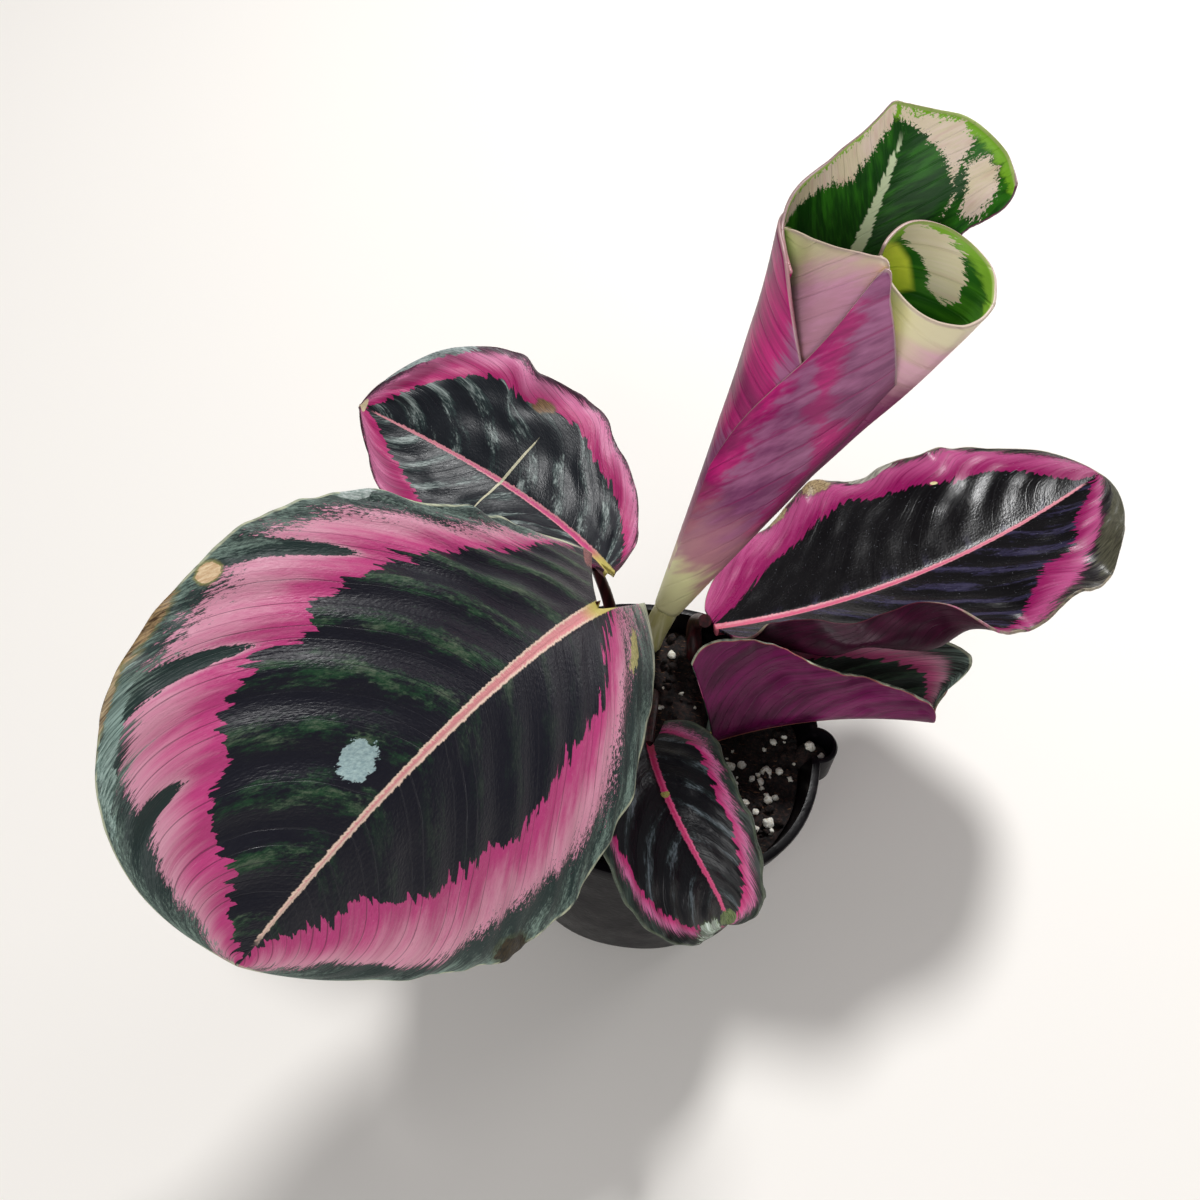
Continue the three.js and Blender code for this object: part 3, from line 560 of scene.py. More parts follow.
def make_blade(name, node, leaf, rows, columns, upper, underside):
    bm = bmesh.new()
    bmesh.ops.create_grid(bm, x_segments=rows, y_segments=columns, size=1)
    place_layer = bm.verts.layers.float_vector.new("place")
    marks_layer = bm.verts.layers.float_vector.new("marks")
    flow_layer = bm.verts.layers.float_vector.new("flow")
    rib_layer = bm.verts.layers.float.new("midrib_gap")
    heat_layer = bm.verts.layers.float.new("heat")
    weights = bm.verts.layers.deform.new()
    shares = sorted({round((vert.co.x + 1) / 2, 5) for vert in bm.verts})
    places = [row_place(share) for share in shares]
    spots = dict(zip(shares, midrib_points(leaf, places)))
    axes = {share: blade_axes(leaf, s) for share, s in zip(shares, places)}
    long = leaf["length"] * 1000
    for vert in bm.verts:
        share = round((vert.co.x + 1) / 2, 5)
        s = row_place(share)
        t = -vert.co.y
        reach = abs(t)
        half = leaf["left"] if t < 0 else leaf["right"]
        point, width = blade_point(leaf, s, t, spots[share], axes[share])
        wide = width * 1000
        q = vein_place(s, reach)
        inner_gap = (reach - along(half["centre"], s)) * wide
        outer_gap = (reach - along(half["band"], s)) * wide
        for place, start in half.get("wedges", ()):
            closeness = max(0, 1 - abs(q - place) / 0.026)
            outer_gap += 22 * closeness * ease(reach, start, start + 0.22)
        to_rim = min((1 - reach) * wide, (1 - s) * long)
        vert[place_layer] = Vector((s, t, q))
        vert[marks_layer] = Vector((inner_gap, outer_gap, to_rim))
        vert[flow_layer] = Vector((q * long + (170 if t < 0 else 0) + leaf["seed"] * 400, reach * wide, 0))
        vert[rib_layer] = reach * wide - between(leaf["rib_width"], s) * 1000
        vert[heat_layer] = along(half["heat"], s) if "heat" in half else 0
        rib = RIB_HEIGHT * (1 - RIB_TAPER * s) * math.exp(-(reach * width / 0.0011) ** 2)
        vert[weights][0] = (BLADE_THICKNESS + rib) / (BLADE_THICKNESS + RIB_HEIGHT)
        vert.co = point
    piece = piece_from(bm, name, upper, underside)
    piece.vertex_groups.new(name="thickness")
    solid = piece.modifiers.new("thickness", "SOLIDIFY")
    solid.thickness = BLADE_THICKNESS + RIB_HEIGHT
    solid.offset = -1
    solid.vertex_group = "thickness"
    solid.material_offset = 1
    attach(piece, "root")
    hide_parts(node)
    return piece


def new_group(name, inputs, outputs):
    group = bpy.data.node_groups.new(name, "ShaderNodeTree")
    for label, kind in inputs:
        group.interface.new_socket(label, in_out="INPUT", socket_type="NodeSocket" + kind)
    for label, kind in outputs:
        group.interface.new_socket(label, in_out="OUTPUT", socket_type="NodeSocket" + kind)
    return group, group.nodes.new("NodeGroupInput").outputs, group.nodes.new("NodeGroupOutput").inputs


def vein_field(tree, flow, across, lengthwise, detail=2.0, roughness=0.5):
    """Noise around 0 drawn out along the side veins; its two sizes are in millimetres."""
    stretched = add_node(tree, "VectorMath", flow, (1 / across, 1 / lengthwise, 1), operation="MULTIPLY").outputs[0]
    return math_node(tree, "SUBTRACT", rough_field(tree, stretched, 1, detail, roughness), 0.5)


def weighed(tree, *pairs):
    """The sum of some sockets, each times its number."""
    total = None
    for socket, amount in pairs:
        total = math_node(tree, "MULTIPLY_ADD", socket, amount, 0.0 if total is None else total)
    return total


def product(tree, first, *others):
    for other in others:
        first = math_node(tree, "MULTIPLY", first, other)
    return first



# The upper face's markings
# A dark feathered centre with green mottling and patches of painted grey sheen, both laid more on the fold crests as
# painted highlights; a pink band whose inner edge has teeth along the side veins and whose outer edge breaks up into
# specks, a frosted dark margin with a pale rim, and the midrib.
markings, given, out = new_group(
    "leaf markings",
    [("Place", "Vector"), ("Marks", "Vector"), ("Flow", "Vector"), ("Midrib gap", "Float"), ("Heat", "Float"),
     ("Centre", "Color"), ("Centre green", "Color"), ("Sheen", "Color"), ("Pink", "Color"), ("Pale pink", "Color"),
     ("Hot pink", "Color"), ("Margin", "Color"), ("Margin light", "Color"), ("Rib", "Color"), ("Rib edge", "Color"),
     ("Rib base", "Color"), ("Rim", "Color"), ("Tooth", "Float"), ("Speck", "Float"), ("Folds", "Float"),
     ("Green", "Float"), ("Painted sheen", "Float"), ("Side", "Float"), ("Dust", "Float")],
    [("Color", "Color"), ("Height", "Float"), ("Wax", "Float")])
tree = markings
place = add_node(tree, "SeparateXYZ", given["Place"]).outputs
marks = add_node(tree, "SeparateXYZ", given["Marks"]).outputs
flow = given["Flow"]
run = add_node(tree, "SeparateXYZ", flow).outputs
broad = vein_field(tree, flow, 9, 30)
medium = vein_field(tree, flow, 2.4, 8)
fine = vein_field(tree, flow, 0.7, 1.9, 3, 0.6)
specks = vein_field(tree, flow, 0.7, 0.9, 4, 0.75)
fibre = vein_field(tree, flow, 0.35, 3)
mottle = vein_field(tree, flow, 4, 9, 5, 0.65)
grain = vein_field(tree, flow, 0.8, 0.8, 1)

wavering = weighed(tree, (run[0], 1 / 3.3), (medium, 0.35))
vein_step = math_node(tree, "FRACT", wavering)
vein_number = math_node(tree, "FLOOR", wavering)
per_vein = tree.nodes.new("ShaderNodeTexWhiteNoise")
per_vein.noise_dimensions = "1D"
feed(tree, per_vein.inputs["W"], vein_number)
chance = per_vein.outputs["Value"]
line_gap = product(tree, math_node(tree, "ABSOLUTE", math_node(tree, "SUBTRACT", vein_step, 0.5)), 3.3)
vein_line = product(tree, fade(tree, line_gap, 0.2, 0.05), fade(tree, chance, 0.1, 0.6))

saw = product(tree, math_node(tree, "SUBTRACT", vein_step, 0.5), chance)
teeth = weighed(tree, (broad, 5.0), (medium, 5.0), (fine, 3.4), (saw, 4.6))
inner_gap = math_node(tree, "MULTIPLY_ADD", teeth, given["Tooth"], marks[0])
in_band = fade(tree, inner_gap, -0.1, 0.15)
crumbling = weighed(tree, (specks, 19.0), (medium, 5.0), (broad, 8.0), (fine, 4.0))
outer_gap = math_node(tree, "MULTIPLY_ADD", crumbling, given["Speck"], marks[1])
in_margin = fade(tree, outer_gap, -0.9, 0.9)

# Painted highlight: the green and the sheen colour rise in step with the fold waves, on the crests; the sheen patches
# are painted highlight throughout, the rest of the green is the leaf's own mottle.
waves = math_node(tree, "SINE", product(tree, place[2], given["Folds"], 2 * math.pi))
green_share = fade(tree, weighed(tree, (waves, 0.26), (medium, 0.9), (mottle, 2.0), (specks, 1.0)), 0.0, 0.5)
one_half = fade(tree, place[1], 0.1, -0.15)
kept = math_node(tree, "SUBTRACT", 1, product(tree, one_half, given["Side"]))
green_share = product(tree, green_share, kept, given["Green"])
centre_tone = mixed(tree, green_share, given["Centre"], given["Centre green"])
sheen_share = fade(tree, weighed(tree, (waves, 0.16), (mottle, 1.4), (fine, 0.5), (specks, 0.6)), 0.12, 0.5)
centre_tone = mixed(tree, product(tree, sheen_share, kept, given["Painted sheen"]), centre_tone, given["Sheen"])
centre_tone = mixed(tree, product(tree, vein_line, 0.55), centre_tone, given["Centre"])

band_width = math_node(tree, "MAXIMUM", math_node(tree, "SUBTRACT", marks[0], marks[1]), 0.5)
band_share = math_node(tree, "DIVIDE", marks[0], band_width)
cooling = weighed(tree, (band_share, 1.0), (given["Heat"], -0.6), (medium, 0.9), (broad, 0.8), (fine, 0.4))
paling = fade(tree, cooling, 0.1, 0.95)
band_tone = mixed(tree, paling, given["Pink"], given["Pale pink"])
heat = math_node(tree, "MULTIPLY", fade(tree, weighed(tree, (given["Heat"], 1.0), (medium, 0.5), (broad, 0.5)), 0.1, 0.9),
                 fade(tree, marks[0], 28.0, 7.0))
band_tone = mixed(tree, heat, band_tone, given["Hot pink"])
band_tone = mixed(tree, product(tree, fade(tree, fine, 0.0, 0.35), 0.25), band_tone, given["Hot pink"])
band_tone = mixed(tree, product(tree, fade(tree, specks, 0.04, 0.25), 0.3), band_tone, given["Pale pink"])
band_tone = mixed(tree, product(tree, fade(tree, specks, -0.04, -0.3), 0.4), band_tone, given["Hot pink"])
band_tone = mixed(tree, product(tree, vein_line, 0.5), band_tone, given["Centre"])
freckles = fade(tree, weighed(tree, (specks, 1.0), (mottle, 0.5), (marks[1], 0.03)), 0.03, 0.12)
band_tone = mixed(tree, product(tree, freckles, 0.55), band_tone, given["Margin light"])

frost = fade(tree, weighed(tree, (mottle, 1.4), (specks, 1.4), (marks[2], -0.05)), -0.3, 0.3)
margin_tone = mixed(tree, frost, given["Margin"], given["Margin light"])
margin_tone = mixed(tree, product(tree, fade(tree, specks, 0.16, 0.3), 0.5), margin_tone, given["Pale pink"])
tone = mixed(tree, in_band, centre_tone, band_tone)
tone = mixed(tree, in_margin, tone, margin_tone)
rim_line = product(tree, fade(tree, marks[2], 0.6, 0.3), fade(tree, medium, -0.2, 0.1))
tone = mixed(tree, rim_line, tone, given["Rim"])

spur = product(tree, fade(tree, line_gap, 0.5, 0.1), fade(tree, chance, 0.2, 0.8))
rib_gap = weighed(tree, (given["Midrib gap"], 1.0), (fine, 1.0), (spur, -0.22))
on_rib = product(tree, fade(tree, rib_gap, 0.22, -0.12), fade(tree, weighed(tree, (place[0], 1.0), (fine, 0.03)), 0.965, 0.935))
rib_tone = mixed(tree, fade(tree, weighed(tree, (given["Midrib gap"], 1.0), (fine, 1.6)), -0.8, -0.15), given["Rib"],
                 given["Rib edge"])
rib_tone = mixed(tree, product(tree, fade(tree, fibre, 0.0, 0.3), 0.35), rib_tone, given["Rib edge"])
rib_tone = mixed(tree, fade(tree, place[0], 0.1, 0.01), rib_tone, given["Rib base"])
tone = mixed(tree, on_rib, tone, rib_tone)
dust = product(tree, fade(tree, vein_field(tree, flow, 0.35, 0.35, 1), 0.24, 0.3), given["Dust"])
tone = mixed(tree, dust, tone, srgb(196, 200, 212))
feed(tree, out["Color"], tone)
feed(tree, out["Height"], weighed(tree, (waves, 0.3), (vein_line, -0.55), (grain, 0.9), (fibre, 0.5), (on_rib, 0.3)))
feed(tree, out["Wax"], weighed(tree, (mottle, 1.0), (grain, 0.4), (in_band, 0.12)))

# A patch of another colour, such as a worn mark or a painted highlight: its place and size in the blade's own s and t,
# with a ragged border and a thin halo.
colour_patch_group, given, out = new_group(
    "colour patch",
    [("Place", "Vector"), ("Flow", "Vector"), ("Offset", "Vector"), ("Scale", "Vector"), ("Ragged", "Float")],
    [("Mask", "Float"), ("Halo", "Float"), ("Grain", "Float")])
tree = colour_patch_group
shifted = add_node(tree, "VectorMath", given["Place"], given["Offset"], operation="SUBTRACT").outputs[0]
squeezed = add_node(tree, "VectorMath", shifted, given["Scale"], operation="MULTIPLY").outputs[0]
distance = add_node(tree, "VectorMath", squeezed, operation="LENGTH").outputs["Value"]
wander = vein_field(tree, given["Flow"], 2.4, 2.4, 5, 0.68)
reached = math_node(tree, "MULTIPLY_ADD", wander, given["Ragged"], distance)
feed(tree, out["Mask"], fade(tree, reached, 1.03, 0.95))
feed(tree, out["Halo"], fade(tree, reached, 1.35, 1.0))
feed(tree, out["Grain"], fade(tree, vein_field(tree, given["Flow"], 0.9, 0.9, 4, 0.7), -0.18, 0.2))


def leaf_upper(name, colours, amounts, roughness, specular, patches=(), relief=0.55):
    """A leaf's upper face: the shared markings in this leaf's colours, waxy, with its own patches: mostly worn or dry
    marks, and on the small front leaf a painted highlight near the tip.
    """
    material, tree, surface = new_material(name)
    group = add_node(tree, "Group", node_tree=markings)
    for label, attribute in (("Place", "place"), ("Marks", "marks"), ("Flow", "flow")):
        tree.links.new(add_node(tree, "Attribute", attribute_name=attribute).outputs["Vector"], group.inputs[label])
    for label, attribute in (("Midrib gap", "midrib_gap"), ("Heat", "heat")):
        tree.links.new(add_node(tree, "Attribute", attribute_name=attribute).outputs["Fac"], group.inputs[label])
    for label, colour in colours.items():
        group.inputs[label].default_value = srgb(*colour)
    for label, amount in amounts.items():
        group.inputs[label].default_value = amount
    tone = group.outputs["Color"]
    location = add_node(tree, "Attribute", attribute_name="place").outputs["Vector"]
    flow = add_node(tree, "Attribute", attribute_name="flow").outputs["Vector"]
    for centre, size, dark, light, halo, ragged in patches:
        patch = add_node(tree, "Group", location, flow, (*centre, 0), (1 / size[0], 1 / size[1], 0), ragged,
                         node_tree=colour_patch_group).outputs
        if halo:
            tone = mixed(tree, product(tree, patch["Halo"], 0.7), tone, srgb(*halo))
        tone = mixed(tree, patch["Mask"], tone, mixed(tree, patch["Grain"], srgb(*dark), srgb(*light)))
    feed(tree, surface.inputs["Base Color"], tone)
    gloss = add_node(tree, "MapRange", group.outputs["Wax"], -0.3, 0.3, roughness - 0.1, roughness + 0.12).outputs[0]
    feed(tree, surface.inputs["Roughness"], gloss)
    surface.inputs["Specular IOR Level"].default_value = specular
    ripple = add_node(tree, "Bump")
    ripple.inputs["Strength"].default_value = relief
    ripple.inputs["Distance"].default_value = 0.0003
    feed(tree, ripple.inputs["Height"], group.outputs["Height"])
    feed(tree, surface.inputs["Normal"], ripple.outputs[0])
    return material


def leaf_underside(name, deep, light, rib, roughness, specular):
    """A leaf's underside: satin purple with darker side veins and a paler midrib."""
    material, tree, surface = new_material(name)
    flow = add_node(tree, "Attribute", attribute_name="flow").outputs["Vector"]
    marks = add_node(tree, "SeparateXYZ", add_node(tree, "Attribute", attribute_name="marks").outputs["Vector"]).outputs
    run = add_node(tree, "SeparateXYZ", flow).outputs
    medium = vein_field(tree, flow, 2.2, 16)
    patchy = weighed(tree, (vein_field(tree, flow, 9, 14, 4, 0.6), 1.0), (medium, 0.3))
    tone = mixed(tree, fade(tree, patchy, -0.25, 0.3), srgb(*deep), srgb(*light))
    steps = math_node(tree, "FRACT", weighed(tree, (run[0], 1 / 3.3), (medium, 0.3)))
    gap = math_node(tree, "ABSOLUTE", math_node(tree, "SUBTRACT", steps, 0.5))
    line = fade(tree, gap, 0.08, 0.02)
    tone = mixed(tree, product(tree, line, 0.45), tone, srgb(*deep))
    grain = vein_field(tree, flow, 0.5, 2.5, 2)
    tone = mixed(tree, product(tree, fade(tree, grain, 0.0, 0.4), 0.4), tone, srgb(*light))
    tone = mixed(tree, product(tree, fade(tree, marks[2], 0.4, 0.15), 0.5), tone, srgb(*rib))
    rib_gap = add_node(tree, "Attribute", attribute_name="midrib_gap").outputs["Fac"]
    tone = mixed(tree, fade(tree, rib_gap, 0.3, -0.3), tone, srgb(*rib))
    feed(tree, surface.inputs["Base Color"], tone)
    surface.inputs["Roughness"].default_value = roughness
    surface.inputs["Specular IOR Level"].default_value = specular
    ripple = add_node(tree, "Bump")
    ripple.inputs["Strength"].default_value = 0.4
    ripple.inputs["Distance"].default_value = 0.0003
    feed(tree, ripple.inputs["Height"], weighed(tree, (line, 1.0), (grain, 1.0), (patchy, 1.0)))
    feed(tree, surface.inputs["Normal"], ripple.outputs[0])
    return material


# Painted shade: the four large leaves' underside is their own maroon darkened further, as shade; the low right leaf
# gets the brighter magenta underside.
shade_darkened_plum = leaf_underside("plum_underside_painted_shade", (26, 0, 14), (62, 6, 38), (110, 50, 60), 0.5, 0.15)



# Large front-left leaf
# The biggest blade, nearly round, cupped and with nine broad ripples that follow its side veins.
# Its margin has a dry brown stretch on the outer edge and a few small scars.
FRONT_LEFT = {
    "base": (-0.0208, -0.0018, 0.120), "heading": (245.9, 234.8), "rise": (34.2, -31.05), "roll": (20.5, 52.2),
    "length": 0.1236, "bulge": 0.634, "taper": 0.409, "root": 0.005, "cup": 0.22, "ribs": 9, "crumple": 0.0009,
    "seed": 1, "rib_width": (0.0018, 0.0003),
    "left": {
        "width": 0.0555, "lobe": 0.226, "fold": -8.5, "wave": (4.5, 0.0005, 0.1), "rib_size": 0.00035, "frill": 0.0006,
        "centre": [(0, 0.33), (0.12, 0.34), (0.16, 0.48), (0.26, 0.49), (0.34, 0.5), (0.43, 0.53), (0.54, 0.54),
                   (0.57, 0.47), (0.67, 0.49), (0.73, 0.46), (0.78, 0.37), (0.8, 0.28), (0.9, 0.18), (0.97, 0.02), (1, 0)],
        "band": [(0, 0.62), (0.03, 0.66), (0.19, 0.71), (0.31, 0.84), (0.43, 0.84), (0.57, 0.78), (0.72, 0.78),
                 (0.87, 0.81), (0.94, 0.5), (1, 0.3)],
    },
    "right": {
        "width": 0.0569, "lobe": 0.2, "fold": 7.3, "wave": (3.5, 0.002, 0.35), "rib_size": 0.0006, "frill": 0.0014,
        "edge": [(0, 3.8), (0.01, 2.2), (0.025, 1.5), (0.045, 1.22), (0.1, 1.06), (0.16, 0.98), (0.21, 0.9), (0.27, 0.88),
                 (0.33, 1), (0.38, 1.03), (0.5, 1)],
        "centre": [(0, 1.15), (0.03, 1), (0.08, 0.85), (0.14, 0.68), (0.29, 0.67), (0.36, 0.61), (0.4, 0.65), (0.51, 0.65),
                   (0.56, 0.66), (0.585, 0.59), (0.63, 0.63), (0.7, 0.64), (0.76, 0.6), (0.78, 0.52), (0.83, 0.52),
                   (0.86, 0.44), (0.88, 0.34), (0.92, 0.27), (0.97, 0.15), (1, 0)],
        "band": [(0, 1.1), (0.06, 0.98), (0.12, 0.86), (0.2, 0.84), (0.34, 0.86), (0.41, 0.91), (0.54, 0.92), (0.61, 0.9), (0.74, 0.89), (0.86, 0.86), (0.92, 0.72),
                 (0.97, 0.47), (1, 0.3)],
        "heat": [(0, 1.2), (0.3, 1.1), (0.42, 0.3), (0.52, 0), (1, 0)],
        "wedges": [(0.186, 0.6), (0.415, 0.56), (0.622, 0.5)],
    },
}
front_left_colours = {
    "Centre": (20, 20, 31), "Centre green": (28, 66, 40), "Sheen": (96, 106, 88), "Pink": (190, 62, 124),
    "Pale pink": (216, 150, 172), "Hot pink": (128, 0, 60), "Margin": (34, 50, 48), "Margin light": (132, 154, 142),
    "Rib": (224, 144, 148), "Rib edge": (240, 210, 190), "Rib base": (204, 190, 104), "Rim": (196, 200, 170),
}
front_left_amounts = {"Tooth": 1.0, "Speck": 1.0, "Folds": 9, "Green": 0.95, "Painted sheen": 0.85, "Side": 0.85, "Dust": 0.0}
front_left_patches = [
    ((0.66, 0.16), (0.034, 0.066), (140, 164, 168), (176, 200, 198), None, 1.4),
    ((0.73, 1.02), (0.06, 0.05), (70, 50, 32), (186, 156, 112), (110, 104, 60), 1.6),
    ((0.82, 1.02), (0.045, 0.045), (90, 68, 46), (214, 192, 152), (126, 118, 70), 1.4),
    ((0.63, 0.955), (0.017, 0.034), (196, 158, 118), (232, 208, 170), (150, 142, 80), 0.8),
    ((0.37, 0.985), (0.026, 0.024), (120, 140, 132), (206, 214, 210), None, 1.8),
    ((0.86, 0.95), (0.08, 0.04), (60, 84, 78), (176, 200, 190), None, 2.6),
    ((0.0, 0.85), (0.012, 0.16), (92, 48, 52), (168, 112, 104), None, 1.4),
    ((0.655, -0.98), (0.05, 0.07), (22, 18, 14), (66, 54, 30), (70, 78, 50), 1.0),
    ((0.06, -0.7), (0.034, 0.05), (150, 146, 84), (206, 196, 130), None, 2.2),
]
front_left_skin = leaf_upper("front_left_leaf", front_left_colours, front_left_amounts, 0.42, 0.3, front_left_patches)
make_blade("leaf_front_left", "blade_front_left", FRONT_LEFT, 220, 170, front_left_skin, shade_darkened_plum)


# Back leaf
# A smaller blade behind the large one, held level, grey-green along its middle with silvery patches of painted sheen,
# with a pink midrib that ends before the tip and an uneven right margin.
BACK = {
    "base": (-0.0219, 0.0282, 0.1027), "heading": (121.5, 189), "rise": (-16.9, 33), "roll": (-23.3, 29.9),
    "length": 0.0898, "bulge": 0.95, "taper": 0.795, "root": 0.005, "cup": 0.029, "ribs": 8, "crumple": 0.0016,
    "seed": 2, "rib_width": (0.0015, 0.0001),
    "left": {
        "width": 0.032, "lobe": 0.061, "fold": 9.2, "wave": (2.5, 0.0016, 0.6), "rib_size": 0.00015, "frill": 0.0005,
        "centre": [(0, 0.95), (0.3, 0.84), (0.6, 0.72), (0.85, 0.5), (1, 0)],
        "band": [(0, 1.15), (0.3, 1.1), (0.6, 1.02), (0.85, 1), (1, 0.9)],
    },
    "right": {
        "width": 0.0396, "lobe": 0.061, "fold": 10.7, "wave": (3.5, 0.0018, 0.2), "rib_size": 0.00015, "frill": 0.0008,
        "edge": [(0, 1), (0.14, 1), (0.21, 1.01), (0.31, 0.97), (0.36, 0.98), (0.41, 1.08), (0.47, 1.04), (0.54, 0.94),
                 (0.59, 0.9), (0.64, 1.01), (0.72, 1.03), (0.87, 0.98), (1, 1)],
        "centre": [(0, 0.9), (0.15, 0.76), (0.4, 0.72), (0.55, 0.74), (0.75, 0.66), (0.9, 0.44), (1, 0)],
        "band": [(0, 1.05), (0.3, 0.96), (0.5, 0.95), (0.7, 0.93), (0.85, 0.92), (1, 0.6)],
        "heat": [(0, 1.3), (0.56, 1.3), (0.66, 0.3), (0.75, 0), (1, 0)],
    },
}
back_colours = dict(front_left_colours, **{
    "Centre": (26, 30, 36), "Centre green": (54, 72, 70), "Sheen": (156, 168, 164), "Pink": (182, 40, 110),
    "Pale pink": (214, 124, 166), "Hot pink": (124, 0, 66), "Rib": (206, 74, 130), "Rib edge": (226, 150, 160),
    "Margin": (44, 22, 36), "Margin light": (98, 66, 84), "Rim": (60, 30, 40)})
back_amounts = {"Tooth": 0.5, "Speck": 0.5, "Folds": 8, "Green": 0.8, "Painted sheen": 1.5, "Side": 0.0, "Dust": 0.0}
back_patches = [
    ((0.53, 0.75), (0.026, 0.06), (84, 58, 38), (150, 118, 84), (96, 84, 64), 1.6),
    ((0.86, 0.96), (0.1, 0.07), (96, 110, 108), (190, 202, 200), None, 2.4),
    ((0.992, 0.1), (0.012, 0.6), (196, 176, 140), (230, 216, 180), None, 0.3),
    ((0.49, -0.03), (0.0045, 0.5), (190, 186, 150), (220, 216, 190), None, 0.3),
]
back_skin = leaf_upper("back_leaf", back_colours, back_amounts, 0.4, 0.26, back_patches, 0.32)
make_blade("leaf_back", "blade_back", BACK, 150, 110, back_skin, shade_darkened_plum)


# Right leaf
# The longest blade, glossy and almost black, with its near margin curled up at the base.
RIGHT = {
    "base": (0.0129, 0.030, 0.080), "heading": (23.5, 39.8), "rise": (-5, 17.5), "roll": (22.1, 9),
    "length": 0.1385, "bulge": 0.635, "taper": 0.574, "root": 0.022, "cup": 0.047, "ribs": 10, "crumple": 0.0007,
    "seed": 3, "rib_width": (0.0016, 0.0003),
    "left": {
        "width": 0.0529, "lobe": -0.008, "fold": 5, "wave": (3.5, 0.0024, 0.7), "rib_size": 0.00015, "frill": 0.001,
        "edge": [(0, 1), (0.4, 1.02), (0.5, 1.06), (0.59, 0.98), (0.66, 0.97), (0.74, 0.92), (0.8, 1.02), (0.86, 1.06),
                 (0.93, 0.98), (1, 1)],
        "centre": [(0, 0.2), (0.08, 0.36), (0.2, 0.56), (0.4, 0.7), (0.6, 0.72), (0.74, 0.62), (0.88, 0.5), (0.94, 0.2),
                   (1, 0)],
        "band": [(0, 1.05), (0.3, 0.98), (0.6, 0.95), (0.85, 0.92), (1, 0.7)],
        "heat": [(0, 0.5), (0.3, 0.6), (0.6, 0.6), (1, 0.3)],
    },
    "right": {
        "width": 0.0421, "lobe": -0.008, "fold": 12.4, "wave": (4.5, 0.0026, 0.3), "rib_size": 0.00015, "frill": 0.0008,
        "edge": [(0, 1.1), (0.08, 1.3), (0.15, 1.5), (0.25, 1.34), (0.33, 1.3), (0.41, 1.16), (0.5, 1), (0.6, 1), (0.7, 1.03),
                 (0.83, 1.01), (0.92, 0.98), (1, 1)],
        "hem": {"angle": 150, "width": 0.3, "places": (0, 0.08, 0.3, 0.46)},
        "centre": [(0, 0.86), (0.15, 0.8), (0.3, 0.86), (0.5, 0.95), (0.62, 0.72), (0.7, 0.56), (0.8, 0.54), (0.86, 0.36),
                   (0.94, 0.2), (1, 0)],
        "band": [(0, 1.1), (0.3, 1.02), (0.5, 1), (0.66, 0.92), (0.78, 0.74), (0.88, 0.66), (0.96, 0.4), (1, 0.2)],
        "heat": [(0, 0.4), (0.5, 0.3), (1, 0.2)],
    },
}
right_colours = dict(front_left_colours, **{
    "Centre": (8, 6, 9), "Centre green": (42, 38, 64), "Sheen": (70, 66, 92), "Pink": (146, 16, 90),
    "Pale pink": (190, 84, 138), "Hot pink": (118, 4, 70), "Margin": (24, 20, 24), "Margin light": (104, 100, 90),
    "Rib": (222, 100, 134), "Rib edge": (226, 150, 160), "Rib base": (214, 110, 130), "Rim": (150, 138, 116)})
right_amounts = {"Tooth": 0.8, "Speck": 0.7, "Folds": 10, "Green": 1.6, "Painted sheen": 0.9, "Side": 1.0, "Dust": 1.0}
right_patches = [
    ((0.47, -0.96), (0.045, 0.07), (96, 76, 52), (196, 172, 130), (90, 70, 60), 1.3),
    ((0.34, -1.0), (0.03, 0.05), (110, 88, 62), (206, 186, 146), None, 1.2),
    ((0.7, -0.66), (0.008, 0.018), (214, 196, 120), (240, 232, 190), None, 0.8),
    ((0.9, 0.9), (0.12, 0.2), (50, 50, 40), (100, 98, 80), None, 1.6),
    ((0.62, -0.98), (0.06, 0.04), (110, 110, 100), (206, 202, 188), None, 2.0),
]
right_skin = leaf_upper("right_leaf", right_colours, right_amounts, 0.24, 0.16, right_patches, 0.2)
make_blade("leaf_right", "blade_right", RIGHT, 190, 140, right_skin, shade_darkened_plum)


# Low right leaf
# A small blade under the right one, folded along its midrib so that its purple underside shows.
LOW_RIGHT = {
    "base": (0.0134, -0.0011, 0.0705), "heading": (28, 0), "rise": (2, 0), "roll": (0, 0),
    "length": 0.066, "bulge": 0.18, "taper": 0.42, "root": 0.02, "cup": 0, "ribs": 6, "crumple": 0.0009,
    "seed": 4, "rib_width": (0.001, 0.0003),
    "left": {
        "width": 0.027, "lobe": -0.15, "fold": 12, "fold_spread": (-0.004, 0.008), "sweep": 0.47,
        "wave": (2.5, 0.0012, 0.2), "rib_size": 0.0002, "frill": 0.0004,
        "edge": [(0, 0.6), (0.2, 0.85), (0.5, 1), (1, 1)],
        "centre": [(0, 0.6), (0.5, 0.66), (0.8, 0.6), (1, 0.2)],
        "band": [(0, 0.8), (0.5, 0.82), (0.8, 0.8), (1, 0.5)],
    },
    "right": {
        "width": 0.025, "lobe": 0.08, "fold": 112, "fold_spread": (-0.004, 0.008),
        "wave": (2.5, 0.001, 0.5), "rib_size": 0.0002, "frill": 0.0006,
        "edge": [(0, 1.7), (0.1, 1.5), (0.25, 1.22), (0.45, 0.9), (0.7, 0.75), (0.85, 0.8), (1, 1)],
        "centre": [(0, 0.6), (0.5, 0.66), (0.8, 0.6), (1, 0)],
        "band": [(0, 0.8), (0.5, 0.82), (0.8, 0.78), (1, 0.3)],
    },
}
low_right_colours = dict(front_left_colours, **{
    "Centre": (50, 62, 54), "Centre green": (76, 108, 82), "Pink": (216, 92, 144), "Margin": (40, 44, 40)})
